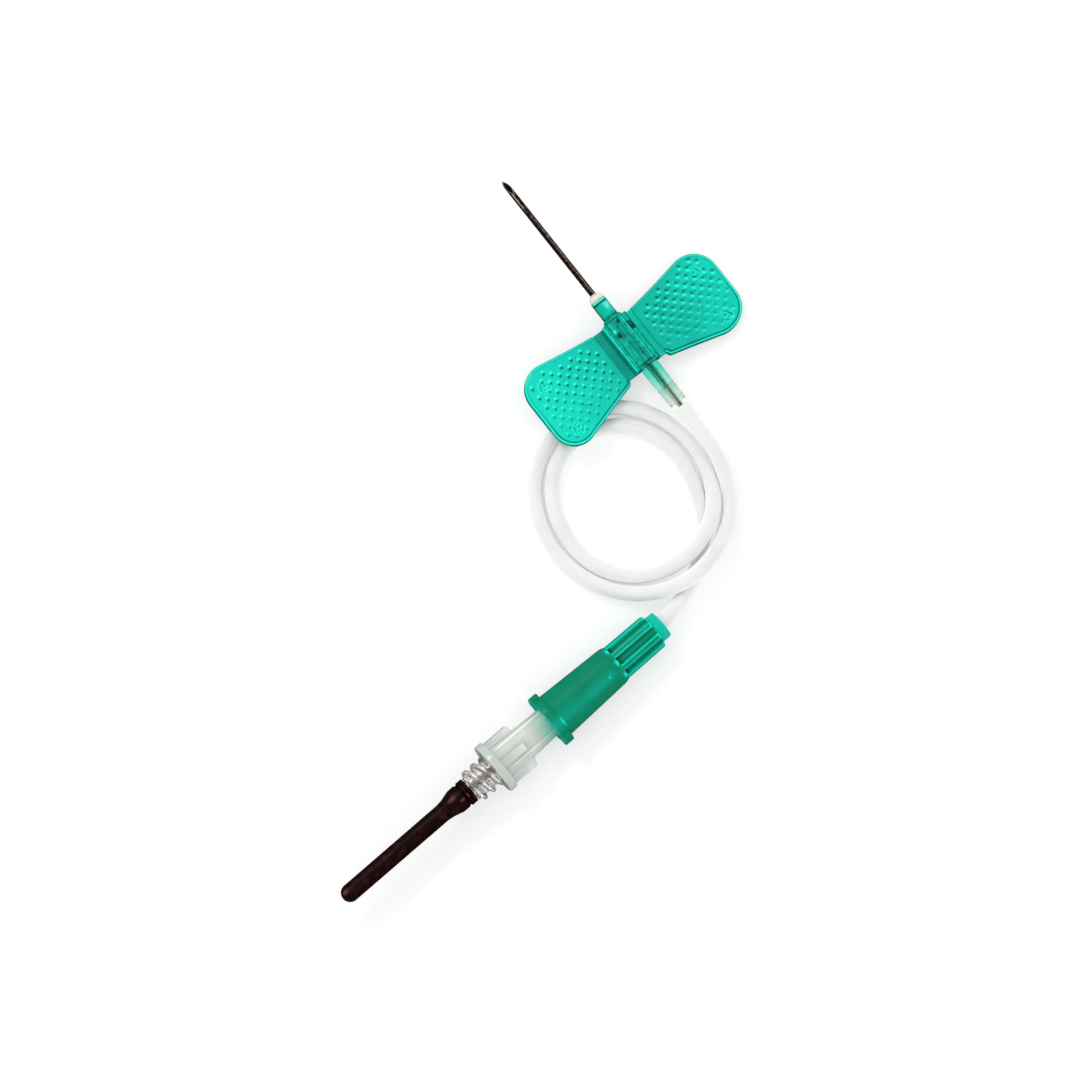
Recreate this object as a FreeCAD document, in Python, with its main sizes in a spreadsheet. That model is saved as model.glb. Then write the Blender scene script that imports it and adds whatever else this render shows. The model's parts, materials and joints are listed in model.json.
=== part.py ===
"""Winged blood-collection set: needle, folding wings, tubing, luer connector and sleeved rear needle.

Millimetres, +Z up. The set lies on a table as it was put down, with its origin under the middle of
its rigid pieces. The winged needle is drawn along its own X axis from the tip to the tail, and the
connector along its own X axis from the tubing to the tip of the rubber sleeve.
"""

import FreeCAD
import Part
import math
import os
import Sketcher
from FreeCAD import Placement, Rotation, Vector

SIZES = [
    ("needle_diameter", 0.82, "steel cannula, outside"),
    ("needle_bore", 0.51, "steel cannula, inside"),
    ("needle_showing", 19.3, "from the tip to the adhesive"),
    ("needle_length", 37.9, "from the tip to the end inside the tubing"),
    ("bevel_angle", 17.8, "main bevel, from the needle's axis"),
    ("lancet_angle", 24.3, "side facets, from the needle's axis"),
    ("lancet_turn_angle", 35.0, "side facets, turned about the needle's axis"),
    ("fit_gap", 0.02, "radial gap where pieces are bonded or pressed"),
    ("root_overlap", 0.3, "how deep keys, ribs and fins reach into what carries them"),
    ("bond_length", 1.0, "adhesive bead in front of the hub"),
    ("bond_diameter", 2.14, "adhesive bead at the hub's rim"),
    ("bond_bulge", 1.5, "radius of the bead's round flank"),
    ("well_diameter", 1.5, "adhesive well in the hub's nose"),
    ("well_depth", 1.0, "adhesive well in the hub's nose"),
    ("nose_diameter", 2.18, "hub's nose, which takes the needle guard"),
    ("nose_length", 2.8, "hub's nose"),
    ("collar_diameter", 2.76, "snap collar in front of the wings"),
    ("collar_length", 0.5, "snap collar"),
    ("collar_front_rise", 0.13, "height and length of the collar's first step"),
    ("stem_diameter", 2.34, "hub inside the wings' sleeve"),
    ("tail_root_diameter", 2.6, "hub's tail behind the wings"),
    ("tail_end_diameter", 2.3, "hub's tail where the tubing enters"),
    ("tail_length", 6.15, "hub's tail"),
    ("hub_socket_depth", 2.6, "tubing inside the hub's tail"),
    ("key_start", 1.2, "keys, behind the sleeve's front face"),
    ("key_length", 1.3, "keys along the hub"),
    ("key_span", 2.84, "across both keys"),
    ("key_height", 0.7, "keys, up and down"),
    ("barrel_length", 7.53, "wings' sleeve and webs"),
    ("barrel_width", 3.8, "wings' sleeve"),
    ("hub_height", 1.475, "hub's axis above the wings' flat underside"),
    ("flank_height", 2.2, "upright sides of the sleeve"),
    ("flank_bevel_width", 0.4, "sloped edge between side and shoulder, across"),
    ("crown_radius", 1.62, "round top of the sleeve"),
    ("crown_width", 2.2, "round top of the sleeve, across"),
    ("web_thickness", 0.5, "thin web that bends when a wing folds"),
    ("hinge_offset", 3.1, "fold line, from the hub's axis"),
    ("hinge_gap", 0.02, "parting between web and wing"),
    ("wing_thickness", 1.0, "wing pad"),
    ("wing_reach", 15.55, "wing's outer edge, from the hub's axis"),
    ("wing_root_length", 8.05, "wing along its fold line"),
    ("wing_lead", 2.16, "front edge's lean forward at the outer corner"),
    ("wing_rear", 11.7, "rear outer corner, behind the sleeve's front face"),
    ("wing_rear_radius", 200.0, "hollow rear edge"),
    ("wing_front_radius", 150.0, "hollow front edge"),
    ("front_corner_radius", 3.6, "wing's front outer corner"),
    ("rear_corner_radius", 3.2, "wing's rear outer corner"),
    ("root_corner_radius", 0.7, "wing's rear inner corner"),
    ("wing_chamfer", 0.18, "upper edge of the wings"),
    ("wing_roll_angle", 6.12, "winged needle's lean on the table, degrees"),
    ("needle_heading_angle", -51.83, "needle's direction from tip to tail, degrees"),
    ("needle_tip_x", -5.515, "needle's tip in the set"),
    ("needle_tip_y", 47.496, "needle's tip in the set"),
    ("tube_diameter", 2.0, "tubing, outside"),
    ("tube_bore", 1.2, "tubing, inside"),
    ("tube_bore_length", 3.5, "tubing's bore, as drawn at each end"),
    ("grip_collar_diameter", 3.87, "connector's plain end round the tubing"),
    ("grip_core_diameter", 4.0, "connector's grip between the ribs"),
    ("grip_start", 1.3, "ribs' free ends, from the tubing side"),
    ("grip_end", 7.9, "ribs' other ends"),
    ("rib_count", 8, "ribs round the grip"),
    ("rib_width", 0.75, "one rib"),
    ("rib_front_diameter", 5.17, "across the ribs at their free ends"),
    ("rib_end_diameter", 5.3, "across the ribs at the cone"),
    ("rib_round", 0.4, "ribs' rounded free ends"),
    ("cone_shoulder", 0.6, "chamfer between the grip and the cone"),
    ("cone_start_diameter", 5.6, "connector's cone, grip side"),
    ("cone_end_diameter", 6.38, "connector's cone, flange side"),
    ("flange_diameter", 6.5, "connector's flange"),
    ("flange_thickness", 1.3, "flange and lugs"),
    ("lug_span", 7.78, "across both lugs"),
    ("lug_width", 3.2, "one lug"),
    ("connector_length", 19.8, "connector from the tubing side to the mouth"),
    ("connector_socket_depth", 3.2, "tubing inside the connector"),
    ("connector_bore", 1.2, "passage between the sockets"),
    ("luer_mouth_diameter", 4.3, "female luer at its mouth"),
    ("luer_taper", 0.06, "luer cone, diameter per length"),
    ("luer_depth", 8.3, "female luer"),
    ("luer_gap", 0.04, "radial gap between the two luer cones"),
    ("adapter_insertion", 5.7, "male luer inside the female one"),
    ("male_length", 14.0, "male luer from its tip to the flange"),
    ("male_bore", 2.0, "passage in the male luer"),
    ("male_bore_length", 12.0, "passage in the male luer"),
    ("fin_count", 4, "fins in front of the adapter's flange"),
    ("fin_diameter", 6.6, "across two fins"),
    ("fin_thickness", 1.0, "one fin"),
    ("fin_root_length", 4.1, "fin along the cone"),
    ("fin_tip_length", 3.7, "fin along its outer edge"),
    ("fin_turn_angle", 4.0, "adapter's turn about its axis, degrees"),
    ("disc_diameter", 7.4, "adapter's round flange"),
    ("disc_thickness", 1.15, "adapter's round flange"),
    ("disc_bevel", 0.15, "bevelled rims of that flange"),
    ("thread_core_diameter", 3.6, "stem of the holder thread"),
    ("thread_length", 3.7, "stem of the holder thread"),
    ("nipple_diameter", 2.2, "nipple that carries the rubber sleeve"),
    ("nipple_length", 3.6, "nipple behind the thread"),
    ("barb_diameter", 2.6, "nipple's barb"),
    ("barb_start", 1.5, "barb's edge, behind the thread"),
    ("barb_length", 1.1, "barb's sloped side"),
    ("rear_inset", 2.0, "rear cannula inside the male luer's passage"),
    ("rear_length", 29.0, "rear cannula"),
    ("rear_well_diameter", 1.5, "adhesive well in the nipple"),
    ("rear_well_depth", 0.8, "adhesive well in the nipple"),
    ("sleeve_start", 0.25, "sleeve's open end, behind the thread"),
    ("sleeve_base_diameter", 3.67, "sleeve's thick open end"),
    ("sleeve_base_length", 0.95, "sleeve's thick open end"),
    ("sleeve_groove_diameter", 3.26, "groove behind the open end"),
    ("sleeve_groove_length", 0.35, "groove behind the open end"),
    ("sleeve_bulge_diameter", 3.5, "swelling over the barb"),
    ("sleeve_bulge_length", 0.6, "swelling over the barb"),
    ("sleeve_neck_length", 2.2, "taper behind the swelling"),
    ("sleeve_diameter", 2.45, "sleeve over the cannula"),
    ("sleeve_bore", 1.2, "sleeve over the cannula, inside"),
    ("sleeve_tip_gap", 0.35, "between the rear cannula's point and the closed end"),
    ("sleeve_end_wall", 1.5, "closed end that the needle pierces"),
    ("connector_heading_angle", 221.08, "connector's direction away from the tubing, degrees"),
    ("connector_pitch_angle", 2.45, "connector's rise towards the sleeve, degrees"),
    ("connector_turn_angle", 3.0, "connector's turn about its axis, degrees"),
    ("connector_x", 15.3, "connector's tubing side in the set"),
    ("connector_y", -10.97, "connector's tubing side in the set"),
]

# The tubing's middle line as it was laid: from the hub, clockwise in loose turns under the left wing,
# over itself twice on the right, and into the connector.
TUBE_ROUTE = [
    (15.93, 20.22, 3.12),
    (19.27, 15.97, 3.12),
    (23.2, 10.7, 2.9),
    (24.7, 4.7, 1.2),
    (22.8, -1.5, 3.3),
    (18.5, -5.9, 3.9),
    (12.6, -7.2, 1.2),
    (6.6, -5.9, 1.0),
    (1.5, -2.0, 1.0),
    (-1.3, 3.6, 1.0),
    (-1.4, 9.8, 1.0),
    (1.9, 15.2, 1.0),
    (7.3, 18.0, 1.0),
    (13.5, 17.4, 1.0),
    (18.7, 14.0, 1.0),
    (22.0, 8.8, 1.0),
    (22.2, 2.8, 3.3),
    (18.9, -2.4, 3.2),
    (13.6, -4.8, 1.1),
    (7.8, -4.1, 1.0),
    (3.3, -0.6, 1.0),
    (0.8, 4.9, 1.0),
    (1.2, 10.6, 1.0),
    (5.1, 14.6, 1.0),
    (11.0, 15.7, 1.0),
    (16.5, 13.0, 1.0),
    (19.7, 8.0, 1.0),
    (21.3, 2.1, 1.0),
    (20.0, -3.8, 1.0),
    (17.33, -9.2, 2.37),
    (12.89, -13.07, 2.63),
]
ARC_SHARE = 0.45
TUBE_SIDES = 12
CLOSE = 0.01

doc = FreeCAD.newDocument("butterfly_needle")
dims = doc.addObject("Spreadsheet::Sheet", "dims")
for row, (alias, value, note) in enumerate(SIZES, start=1):
    dims.set(f"A{row}", note)
    dims.set(f"B{row}", str(value))
    dims.setAlias(f"B{row}", alias)
doc.recompute()


def size(expression):
    """The value of an expression over the sheet's sizes."""
    return float(dims.evalExpression(expression))


# Stations along the needle, as expressions over the sheet.
HUB_FRONT = "(dims.needle_showing + dims.bond_length)"
NOSE_END = f"({HUB_FRONT} + dims.nose_length)"
BARREL_FRONT = f"({NOSE_END} + dims.collar_length)"
BARREL_END = f"({BARREL_FRONT} + dims.barrel_length)"
HUB_END = f"({BARREL_END} + dims.tail_length)"
HUB_SOCKET_FLOOR = f"({HUB_END} - dims.hub_socket_depth)"
CANNULA_HOLE = "(dims.needle_diameter / 2 + dims.fit_gap)"
TUBE_HOLE = "(dims.tube_diameter / 2 + dims.fit_gap)"
UNDERSIDE = "(-dims.hub_height)"
WEB_TOP = "(dims.web_thickness - dims.hub_height)"

# Stations along the connector.
MALE_TIP = "(dims.connector_length - dims.adapter_insertion)"
DISC_FRONT = f"({MALE_TIP} + dims.male_length)"
DISC_BACK = f"({DISC_FRONT} + dims.disc_thickness)"
THREAD_END = f"({DISC_BACK} + dims.thread_length)"
NIPPLE_END = f"({THREAD_END} + dims.nipple_length)"
MALE_MOUTH_RADIUS = "(dims.luer_mouth_diameter / 2 - dims.luer_gap)"
REAR_START = f"({MALE_TIP} + dims.male_bore_length - dims.rear_inset)"
REAR_TIP = f"({REAR_START} + dims.rear_length)"
SLEEVE_FRONT = f"({THREAD_END} + dims.sleeve_start)"
SLEEVE_TIP = f"({REAR_TIP} + dims.sleeve_tip_gap + dims.sleeve_end_wall)"


def new_body(label):
    """An empty body for one piece."""
    body = doc.addObject("PartDesign::Body", label)
    body.Label = label
    return body


def origin_feature(body, role):
    """One of the body's own origin planes or axes, by its role."""
    return next(item for item in body.Origin.OriginFeatures if item.Role == role)


def new_sketch(body, name, plane, offset="0", turn=0.0):
    """A sketch on an origin plane, lifted by an expression and turned about its own X axis."""
    sketch = body.newObject("Sketcher::SketchObject", name)
    sketch.AttachmentSupport = [(origin_feature(body, plane), "")]
    sketch.MapMode = "FlatFace"
    sketch.AttachmentOffset = Placement(Vector(0, 0, size(offset)), Rotation(Vector(1, 0, 0), turn))
    if offset != "0":
        sketch.setExpression(".AttachmentOffset.Base.z", offset)
    return sketch


def bind(sketch, constraint, expression):
    """Adds a constraint whose value follows the sheet."""
    index = sketch.addConstraint(constraint)
    if "dims." in expression:
        sketch.setExpression(f"Constraints[{index}]", expression)


def arc_between(start, end, radius, bulge):
    """The shorter arc from start to end, bulging to the left (1) or right (-1) of that direction."""
    chord = end - start
    half = chord.Length / 2
    left = Vector(-chord.y, chord.x, 0).normalize()
    centre = start + chord * 0.5 - left * bulge * math.sqrt(max(radius * radius - half * half, 0.0))
    first, last = (end, start) if bulge > 0 else (start, end)
    from_angle = math.atan2(first.y - centre.y, first.x - centre.x)
    to_angle = math.atan2(last.y - centre.y, last.x - centre.x)
    return Part.ArcOfCircle(Part.Circle(centre, Vector(0, 0, 1), radius), from_angle, to_angle)


def draw_outline(sketch, corners, arcs=None):
    """Draws a closed outline with each corner bound to the sheet.

    corners lists (x, y) expressions. arcs gives, for the side that leaves a corner, its radius
    expression and the way it bulges, 1 to its left and -1 to its right. Other sides are straight.
    """
    arcs = arcs or {}
    points = [Vector(size(x), size(y), 0) for x, y in corners]
    count = len(points)
    ends = []
    for side in range(count):
        start, end = points[side], points[(side + 1) % count]
        if side in arcs:
            radius, bulge = arcs[side]
            geometry = sketch.addGeometry(arc_between(start, end, size(radius), bulge), False)
            ends.append((geometry, 2, 1) if bulge > 0 else (geometry, 1, 2))
        else:
            geometry = sketch.addGeometry(Part.LineSegment(start, end), False)
            ends.append((geometry, 1, 2))
    for side in range(count):
        before, (geometry, first, _) = ends[side - 1], ends[side]
        sketch.addConstraint(Sketcher.Constraint("Coincident", before[0], before[2], geometry, first))
        across, up = corners[side]
        bind(sketch, Sketcher.Constraint("DistanceX", -1, 1, geometry, first, size(across)), across)
        bind(sketch, Sketcher.Constraint("DistanceY", -1, 1, geometry, first, size(up)), up)
    for side, (radius, _) in arcs.items():
        bind(sketch, Sketcher.Constraint("Radius", ends[side][0], size(radius)), radius)


def draw_circle(sketch, diameter):
    """A circle round the sketch's origin."""
    circle = Part.Circle(Vector(0, 0, 0), Vector(0, 0, 1), size(diameter) / 2)
    geometry = sketch.addGeometry(circle, False)
    sketch.addConstraint(Sketcher.Constraint("Coincident", geometry, 3, -1, 1))
    bind(sketch, Sketcher.Constraint("Diameter", geometry, size(diameter)), diameter)


def revolve(body, name, corners, arcs=None):
    """Turns a half section, drawn as (along, radius), about the body's X axis."""
    sketch = new_sketch(body, f"{name}_section", "XY_Plane")
    draw_outline(sketch, corners, arcs)
    turned = body.newObject("PartDesign::Revolution", name)
    turned.Profile = sketch
    turned.ReferenceAxis = (sketch, ["H_Axis"])
    turned.Angle = 360
    return turned


def pad(body, name, sketch, length, both_ways=False):
    """Pads a sketch to a length that follows the sheet."""
    block = body.newObject("PartDesign::Pad", name)
    block.Profile = sketch
    block.Length = size(length)
    block.setExpression("Length", length)
    if both_ways:
        block.SideType = "Symmetric"
    return block


def pocket(body, name, sketch):
    """Cuts a sketch through the whole body, both ways from its plane."""
    cut = body.newObject("PartDesign::Pocket", name)
    cut.Profile = sketch
    cut.Type = "ThroughAll"
    cut.SideType = "Symmetric"
    return cut


def repeat_round(body, name, feature, count):
    """Repeats a feature round the body's X axis."""
    pattern = body.newObject("PartDesign::PolarPattern", name)
    pattern.Originals = [feature]
    pattern.Axis = (origin_feature(body, "X_Axis"), [""])
    pattern.Angle = 360
    pattern.Occurrences = int(size(count))
    pattern.setExpression("Occurrences", count)
    body.Tip = pattern


def edges_where(feature, test):
    """Names of the feature's edges that pass a test."""
    doc.recompute()
    named = enumerate(feature.Shape.Edges, start=1)
    return [f"Edge{number}" for number, edge in named if test(edge)]


def round_edges(body, name, feature, radius, test):
    """Rounds the edges of a feature that pass a test."""
    fillet = body.newObject("PartDesign::Fillet", name)
    fillet.Base = (feature, edges_where(feature, test))
    fillet.Radius = size(radius)
    fillet.setExpression("Radius", radius)
    return fillet


def middle(edge):
    """The point halfway along an edge."""
    return edge.valueAt((edge.FirstParameter + edge.LastParameter) / 2)


def near(value, expression):
    """Whether a value equals an expression over the sheet, to a hundredth of a millimetre."""
    return abs(value - size(expression)) < CLOSE


def winged_placement():
    """Where the winged needle lies: on its right wing's outer edge, with its axis level."""
    roll = math.radians(size("dims.wing_roll_angle"))
    height = size("dims.wing_reach") * math.sin(roll) + size("dims.hub_height") * math.cos(roll)
    base = Vector(size("dims.needle_tip_x"), size("dims.needle_tip_y"), height)
    heading = Rotation(Vector(0, 0, 1), size("dims.needle_heading_angle"))
    return Placement(base, heading * Rotation(Vector(1, 0, 0), -size("dims.wing_roll_angle")))


def connector_placement(turn, height=0.0):
    """Where the connector and its adapter lie, with one of them turned about their axis."""
    base = Vector(size("dims.connector_x"), size("dims.connector_y"), height)
    heading = Rotation(Vector(0, 0, 1), size("dims.connector_heading_angle"))
    pitch = Rotation(Vector(0, 1, 0), -size("dims.connector_pitch_angle"))
    return Placement(base, heading * pitch * Rotation(Vector(1, 0, 0), turn))


def make_cannula(label, length, tip_at, faces_forward):
    """A steel tube with a lancet tip: one long bevel and two side facets that meet at the point.

    tip_at is the point's station on the X axis. The tube runs from there towards +X when
    faces_forward is true, and towards -X when it isn't.
    """
    body = new_body(label)
    start = tip_at if faces_forward else f"({tip_at} - {length})"
    outline = new_sketch(body, f"{label}_section", "YZ_Plane", start)
    draw_circle(outline, "dims.needle_diameter")
    draw_circle(outline, "dims.needle_bore")
    pad(body, f"{label}_tube", outline, length)
    way = "1" if faces_forward else "-1"
    over = "dims.needle_diameter * 2"
    facets = [
        ("bevel", "dims.bevel_angle", "0"),
        ("facet_right", "dims.lancet_angle", "dims.lancet_turn_angle"),
        ("facet_left", "dims.lancet_angle", "(-dims.lancet_turn_angle)"),
    ]
    for name, angle, turn in facets:
        low = f"(-dims.needle_diameter / 2 * cos({turn}))"
        top = f"({low} + {over})"
        cutter = new_sketch(body, f"{label}_{name}_plane", "XZ_Plane", turn=size(turn))
        before = f"{tip_at} - {way} * {over}"
        heel = f"{tip_at} + {way} * {over} / tan({angle})"
        under = f"{low} - {over} * tan({angle})"
        draw_outline(cutter, [(before, under), (heel, top), (before, top)])
        pocket(body, f"{label}_{name}", cutter)
    return body


def make_hub():
    """The green tube that holds the cannula, snaps into the wings and takes the tubing."""
    body = new_body("needle_hub")
    step = "dims.collar_front_rise"
    collar = "dims.collar_diameter / 2"
    section = [
        (HUB_FRONT, "dims.well_diameter / 2 + dims.fit_gap"),
        (HUB_FRONT, "dims.nose_diameter / 2"),
        (NOSE_END, "dims.nose_diameter / 2"),
        (NOSE_END, f"{collar} - {step}"),
        (f"{NOSE_END} + {step}", f"{collar} - {step}"),
        (f"{NOSE_END} + {step}", collar),
        (BARREL_FRONT, collar),
        (BARREL_FRONT, "dims.stem_diameter / 2"),
        (BARREL_END, "dims.stem_diameter / 2"),
        (BARREL_END, "dims.tail_root_diameter / 2"),
        (HUB_END, "dims.tail_end_diameter / 2"),
        (HUB_END, TUBE_HOLE),
        (HUB_SOCKET_FLOOR, TUBE_HOLE),
        (HUB_SOCKET_FLOOR, CANNULA_HOLE),
        (f"{HUB_FRONT} + dims.well_depth", CANNULA_HOLE),
        (f"{HUB_FRONT} + dims.well_depth", "dims.well_diameter / 2 + dims.fit_gap"),
    ]
    revolve(body, "hub_turned", section)
    plan = new_sketch(body, "hub_key_plan", "XY_Plane")
    key_front = f"{BARREL_FRONT} + dims.key_start"
    key_root = "dims.stem_diameter / 2 - dims.root_overlap"
    corners = [
        (key_front, key_root),
        (f"{key_front} + dims.key_length", key_root),
        (f"{key_front} + dims.key_length", "dims.key_span / 2"),
        (key_front, "dims.key_span / 2"),
    ]
    draw_outline(plan, corners)
    key = pad(body, "hub_key", plan, "dims.key_height", both_ways=True)
    repeat_round(body, "hub_keys", key, "2")
    return body


def make_bond():
    """The bead of adhesive that fills the hub's well and swells out round the cannula."""
    body = new_body("needle_bond")
    section = [
        ("dims.needle_showing", CANNULA_HOLE),
        (HUB_FRONT, "dims.bond_diameter / 2"),
        (HUB_FRONT, "dims.well_diameter / 2"),
        (f"{HUB_FRONT} + dims.well_depth", "dims.well_diameter / 2"),
        (f"{HUB_FRONT} + dims.well_depth", CANNULA_HOLE),
    ]
    revolve(body, "bond_turned", section, {0: ("dims.bond_bulge", 1)})
    return body


def make_barrel():
    """The wings' sleeve: flat underneath, crowned on top, with a thin web along each side."""
    body = new_body("wing_barrel")
    half = "dims.barrel_width / 2"
    web_end = "(dims.hinge_offset - dims.hinge_gap)"
    flank = "(dims.flank_height - dims.hub_height)"
    shoulder = "sqrt(pow(dims.crown_radius; 2) - pow(dims.crown_width / 2; 2))"
    corners = [
        (f"-{web_end}", UNDERSIDE),
        (web_end, UNDERSIDE),
        (web_end, WEB_TOP),
        (half, WEB_TOP),
        (half, flank),
        (f"{half} - dims.flank_bevel_width", shoulder),
        ("dims.crown_width / 2", shoulder),
        ("-dims.crown_width / 2", shoulder),
        (f"-({half} - dims.flank_bevel_width)", shoulder),
        (f"-{half}", flank),
        (f"-{half}", WEB_TOP),
        (f"-{web_end}", WEB_TOP),
    ]
    section = new_sketch(body, "barrel_section", "YZ_Plane", BARREL_FRONT)
    draw_outline(section, corners, {6: ("dims.crown_radius", -1)})
    draw_circle(section, "dims.stem_diameter + 2 * dims.fit_gap")
    pad(body, "barrel_block", section, "dims.barrel_length")
    seat = new_sketch(body, "key_seat_plan", "XY_Plane")
    front = f"({BARREL_FRONT} + dims.key_start - dims.fit_gap)"
    back = f"({front} + dims.key_length + 2 * dims.fit_gap)"
    side = "(dims.key_span / 2 + dims.fit_gap)"
    draw_outline(seat, [(front, f"-{side}"), (back, f"-{side}"), (back, side), (front, side)])
    cut = body.newObject("PartDesign::Pocket", "key_seats")
    cut.Profile = seat
    cut.Type = "Length"
    cut.SideType = "Symmetric"
    cut.Length = size("dims.key_height + 2 * dims.fit_gap")
    cut.setExpression("Length", "dims.key_height + 2 * dims.fit_gap")
    return body


def make_wing(label, side):
    """One wing: a flat pad that widens outwards, with round outer corners and a bevelled top edge.

    side is 1 for the wing on +Y and -1 for the one on -Y.
    """
    body = new_body(label)
    sign = "" if side > 0 else "-"
    inner = f"{sign}(dims.hinge_offset)"
    outer = f"{sign}(dims.wing_reach)"
    corners = [
        (BARREL_FRONT, inner),
        (f"{BARREL_FRONT} + dims.wing_root_length", inner),
        (f"{BARREL_FRONT} + dims.wing_rear", outer),
        (f"{BARREL_FRONT} - dims.wing_lead", outer),
    ]
    plan = new_sketch(body, f"{label}_plan", "XY_Plane", UNDERSIDE)
    edges = {1: ("dims.wing_rear_radius", side), 3: ("dims.wing_front_radius", side)}
    draw_outline(plan, corners, edges)
    slab = pad(body, f"{label}_slab", plan, "dims.wing_thickness")
    spots = [(size(x), size(y)) for x, y in corners]

    def upright_at(spot):
        return lambda edge: (
            abs(middle(edge).x - spot[0]) < CLOSE
            and abs(middle(edge).y - spot[1]) < CLOSE
            and near(edge.Length, "dims.wing_thickness")
        )

    rounded = round_edges(body, f"{label}_root", slab, "dims.root_corner_radius", upright_at(spots[1]))
    rounded = round_edges(body, f"{label}_rear", rounded, "dims.rear_corner_radius", upright_at(spots[2]))
    rounded = round_edges(body, f"{label}_front", rounded, "dims.front_corner_radius", upright_at(spots[3]))
    top = f"{UNDERSIDE} + dims.wing_thickness"

    def upper_rim(edge):
        point = middle(edge)
        return near(point.z, top) and not near(abs(point.y), "dims.hinge_offset")

    bevel = body.newObject("PartDesign::Chamfer", f"{label}_bevel")
    bevel.Base = (rounded, edges_where(rounded, upper_rim))
    bevel.Size = size("dims.wing_chamfer")
    bevel.setExpression("Size", "dims.wing_chamfer")
    return body


def make_connector():
    """The green connector: tubing socket, ribbed grip, cone, and a flange with two lugs."""
    body = new_body("luer_connector")
    luer_floor = "(dims.connector_length - dims.luer_depth)"
    flange_front = "(dims.connector_length - dims.flange_thickness)"
    section = [
        ("0", TUBE_HOLE),
        ("0", "dims.grip_collar_diameter / 2"),
        ("dims.grip_start", "dims.grip_collar_diameter / 2"),
        ("dims.grip_start", "dims.grip_core_diameter / 2"),
        ("dims.grip_end", "dims.grip_core_diameter / 2"),
        ("dims.grip_end", "dims.rib_end_diameter / 2"),
        ("dims.grip_end + dims.cone_shoulder", "dims.cone_start_diameter / 2"),
        (flange_front, "dims.cone_end_diameter / 2"),
        (flange_front, "dims.flange_diameter / 2"),
        ("dims.connector_length", "dims.flange_diameter / 2"),
        ("dims.connector_length", "dims.luer_mouth_diameter / 2"),
        (luer_floor, "(dims.luer_mouth_diameter - dims.luer_depth * dims.luer_taper) / 2"),
        (luer_floor, "dims.connector_bore / 2"),
        ("dims.connector_socket_depth", "dims.connector_bore / 2"),
        ("dims.connector_socket_depth", TUBE_HOLE),
    ]
    revolve(body, "connector_turned", section)
    rib_section = new_sketch(body, "rib_section", "XZ_Plane", turn=180 / size("dims.rib_count"))
    rib_root = "dims.grip_core_diameter / 2 - dims.root_overlap"
    front_radius = "dims.rib_front_diameter / 2"
    corners = [
        ("dims.grip_start", rib_root),
        ("dims.grip_end", rib_root),
        ("dims.grip_end", "dims.rib_end_diameter / 2"),
        ("dims.grip_start + dims.rib_round", front_radius),
        ("dims.grip_start", f"{front_radius} - dims.rib_round"),
    ]
    draw_outline(rib_section, corners, {3: ("dims.rib_round", -1)})
    rib = pad(body, "rib", rib_section, "dims.rib_width", both_ways=True)
    repeat_round(body, "ribs", rib, "dims.rib_count")
    lug_section = new_sketch(body, "lug_section", "YZ_Plane", flange_front)
    half = "dims.lug_width / 2"
    reach = "sqrt(pow(dims.lug_span / 2; 2) - pow(dims.lug_width / 2; 2))"
    inside = "dims.luer_mouth_diameter / 2 + dims.luer_gap"
    across = f"sqrt(pow({inside}; 2) - pow(dims.lug_width / 2; 2))"
    corners = [(across, f"-{half}"), (reach, f"-{half}"), (reach, half), (across, half)]
    draw_outline(lug_section, corners, {1: ("dims.lug_span / 2", -1), 3: (inside, 1)})
    lug = pad(body, "lug", lug_section, "dims.flange_thickness")
    repeat_round(body, "lugs", lug, "2")
    return body


def make_adapter():
    """The clear adapter: male luer, fins, round flange, stem of the thread and a barbed nipple."""
    body = new_body("luer_adapter")
    tip_radius = f"({MALE_MOUTH_RADIUS} - dims.adapter_insertion * dims.luer_taper / 2)"
    root_radius = f"({tip_radius} + dims.male_length * dims.luer_taper / 2)"
    passage_end = f"({MALE_TIP} + dims.male_bore_length)"
    well_floor = f"({NIPPLE_END} - dims.rear_well_depth)"
    well_radius = "dims.rear_well_diameter / 2 + dims.fit_gap"
    barb = f"({THREAD_END} + dims.barb_start)"
    rim = "dims.disc_diameter / 2"
    section = [
        (MALE_TIP, "dims.male_bore / 2"),
        (MALE_TIP, tip_radius),
        (DISC_FRONT, root_radius),
        (DISC_FRONT, f"{rim} - dims.disc_bevel"),
        (f"{DISC_FRONT} + dims.disc_bevel", rim),
        (f"{DISC_BACK} - dims.disc_bevel", rim),
        (DISC_BACK, f"{rim} - dims.disc_bevel"),
        (DISC_BACK, "dims.thread_core_diameter / 2"),
        (THREAD_END, "dims.thread_core_diameter / 2"),
        (THREAD_END, "dims.nipple_diameter / 2"),
        (barb, "dims.nipple_diameter / 2"),
        (barb, "dims.barb_diameter / 2"),
        (f"{barb} + dims.barb_length", "dims.nipple_diameter / 2"),
        (NIPPLE_END, "dims.nipple_diameter / 2"),
        (NIPPLE_END, well_radius),
        (well_floor, well_radius),
        (well_floor, CANNULA_HOLE),
        (passage_end, CANNULA_HOLE),
        (passage_end, "dims.male_bore / 2"),
    ]
    revolve(body, "adapter_turned", section)
    fin_section = new_sketch(body, "fin_section", "XZ_Plane")
    fin_root = f"{tip_radius} - dims.root_overlap"
    fin_back = f"{DISC_FRONT} + dims.root_overlap"
    corners = [
        (f"{DISC_FRONT} - dims.fin_root_length", fin_root),
        (fin_back, fin_root),
        (fin_back, "dims.fin_diameter / 2"),
        (f"{DISC_FRONT} - dims.fin_tip_length", "dims.fin_diameter / 2"),
        (f"{DISC_FRONT} - dims.fin_root_length", root_radius),
    ]
    draw_outline(fin_section, corners)
    fin = pad(body, "fin", fin_section, "dims.fin_thickness", both_ways=True)
    repeat_round(body, "fins", fin, "dims.fin_count")
    return body


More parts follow.
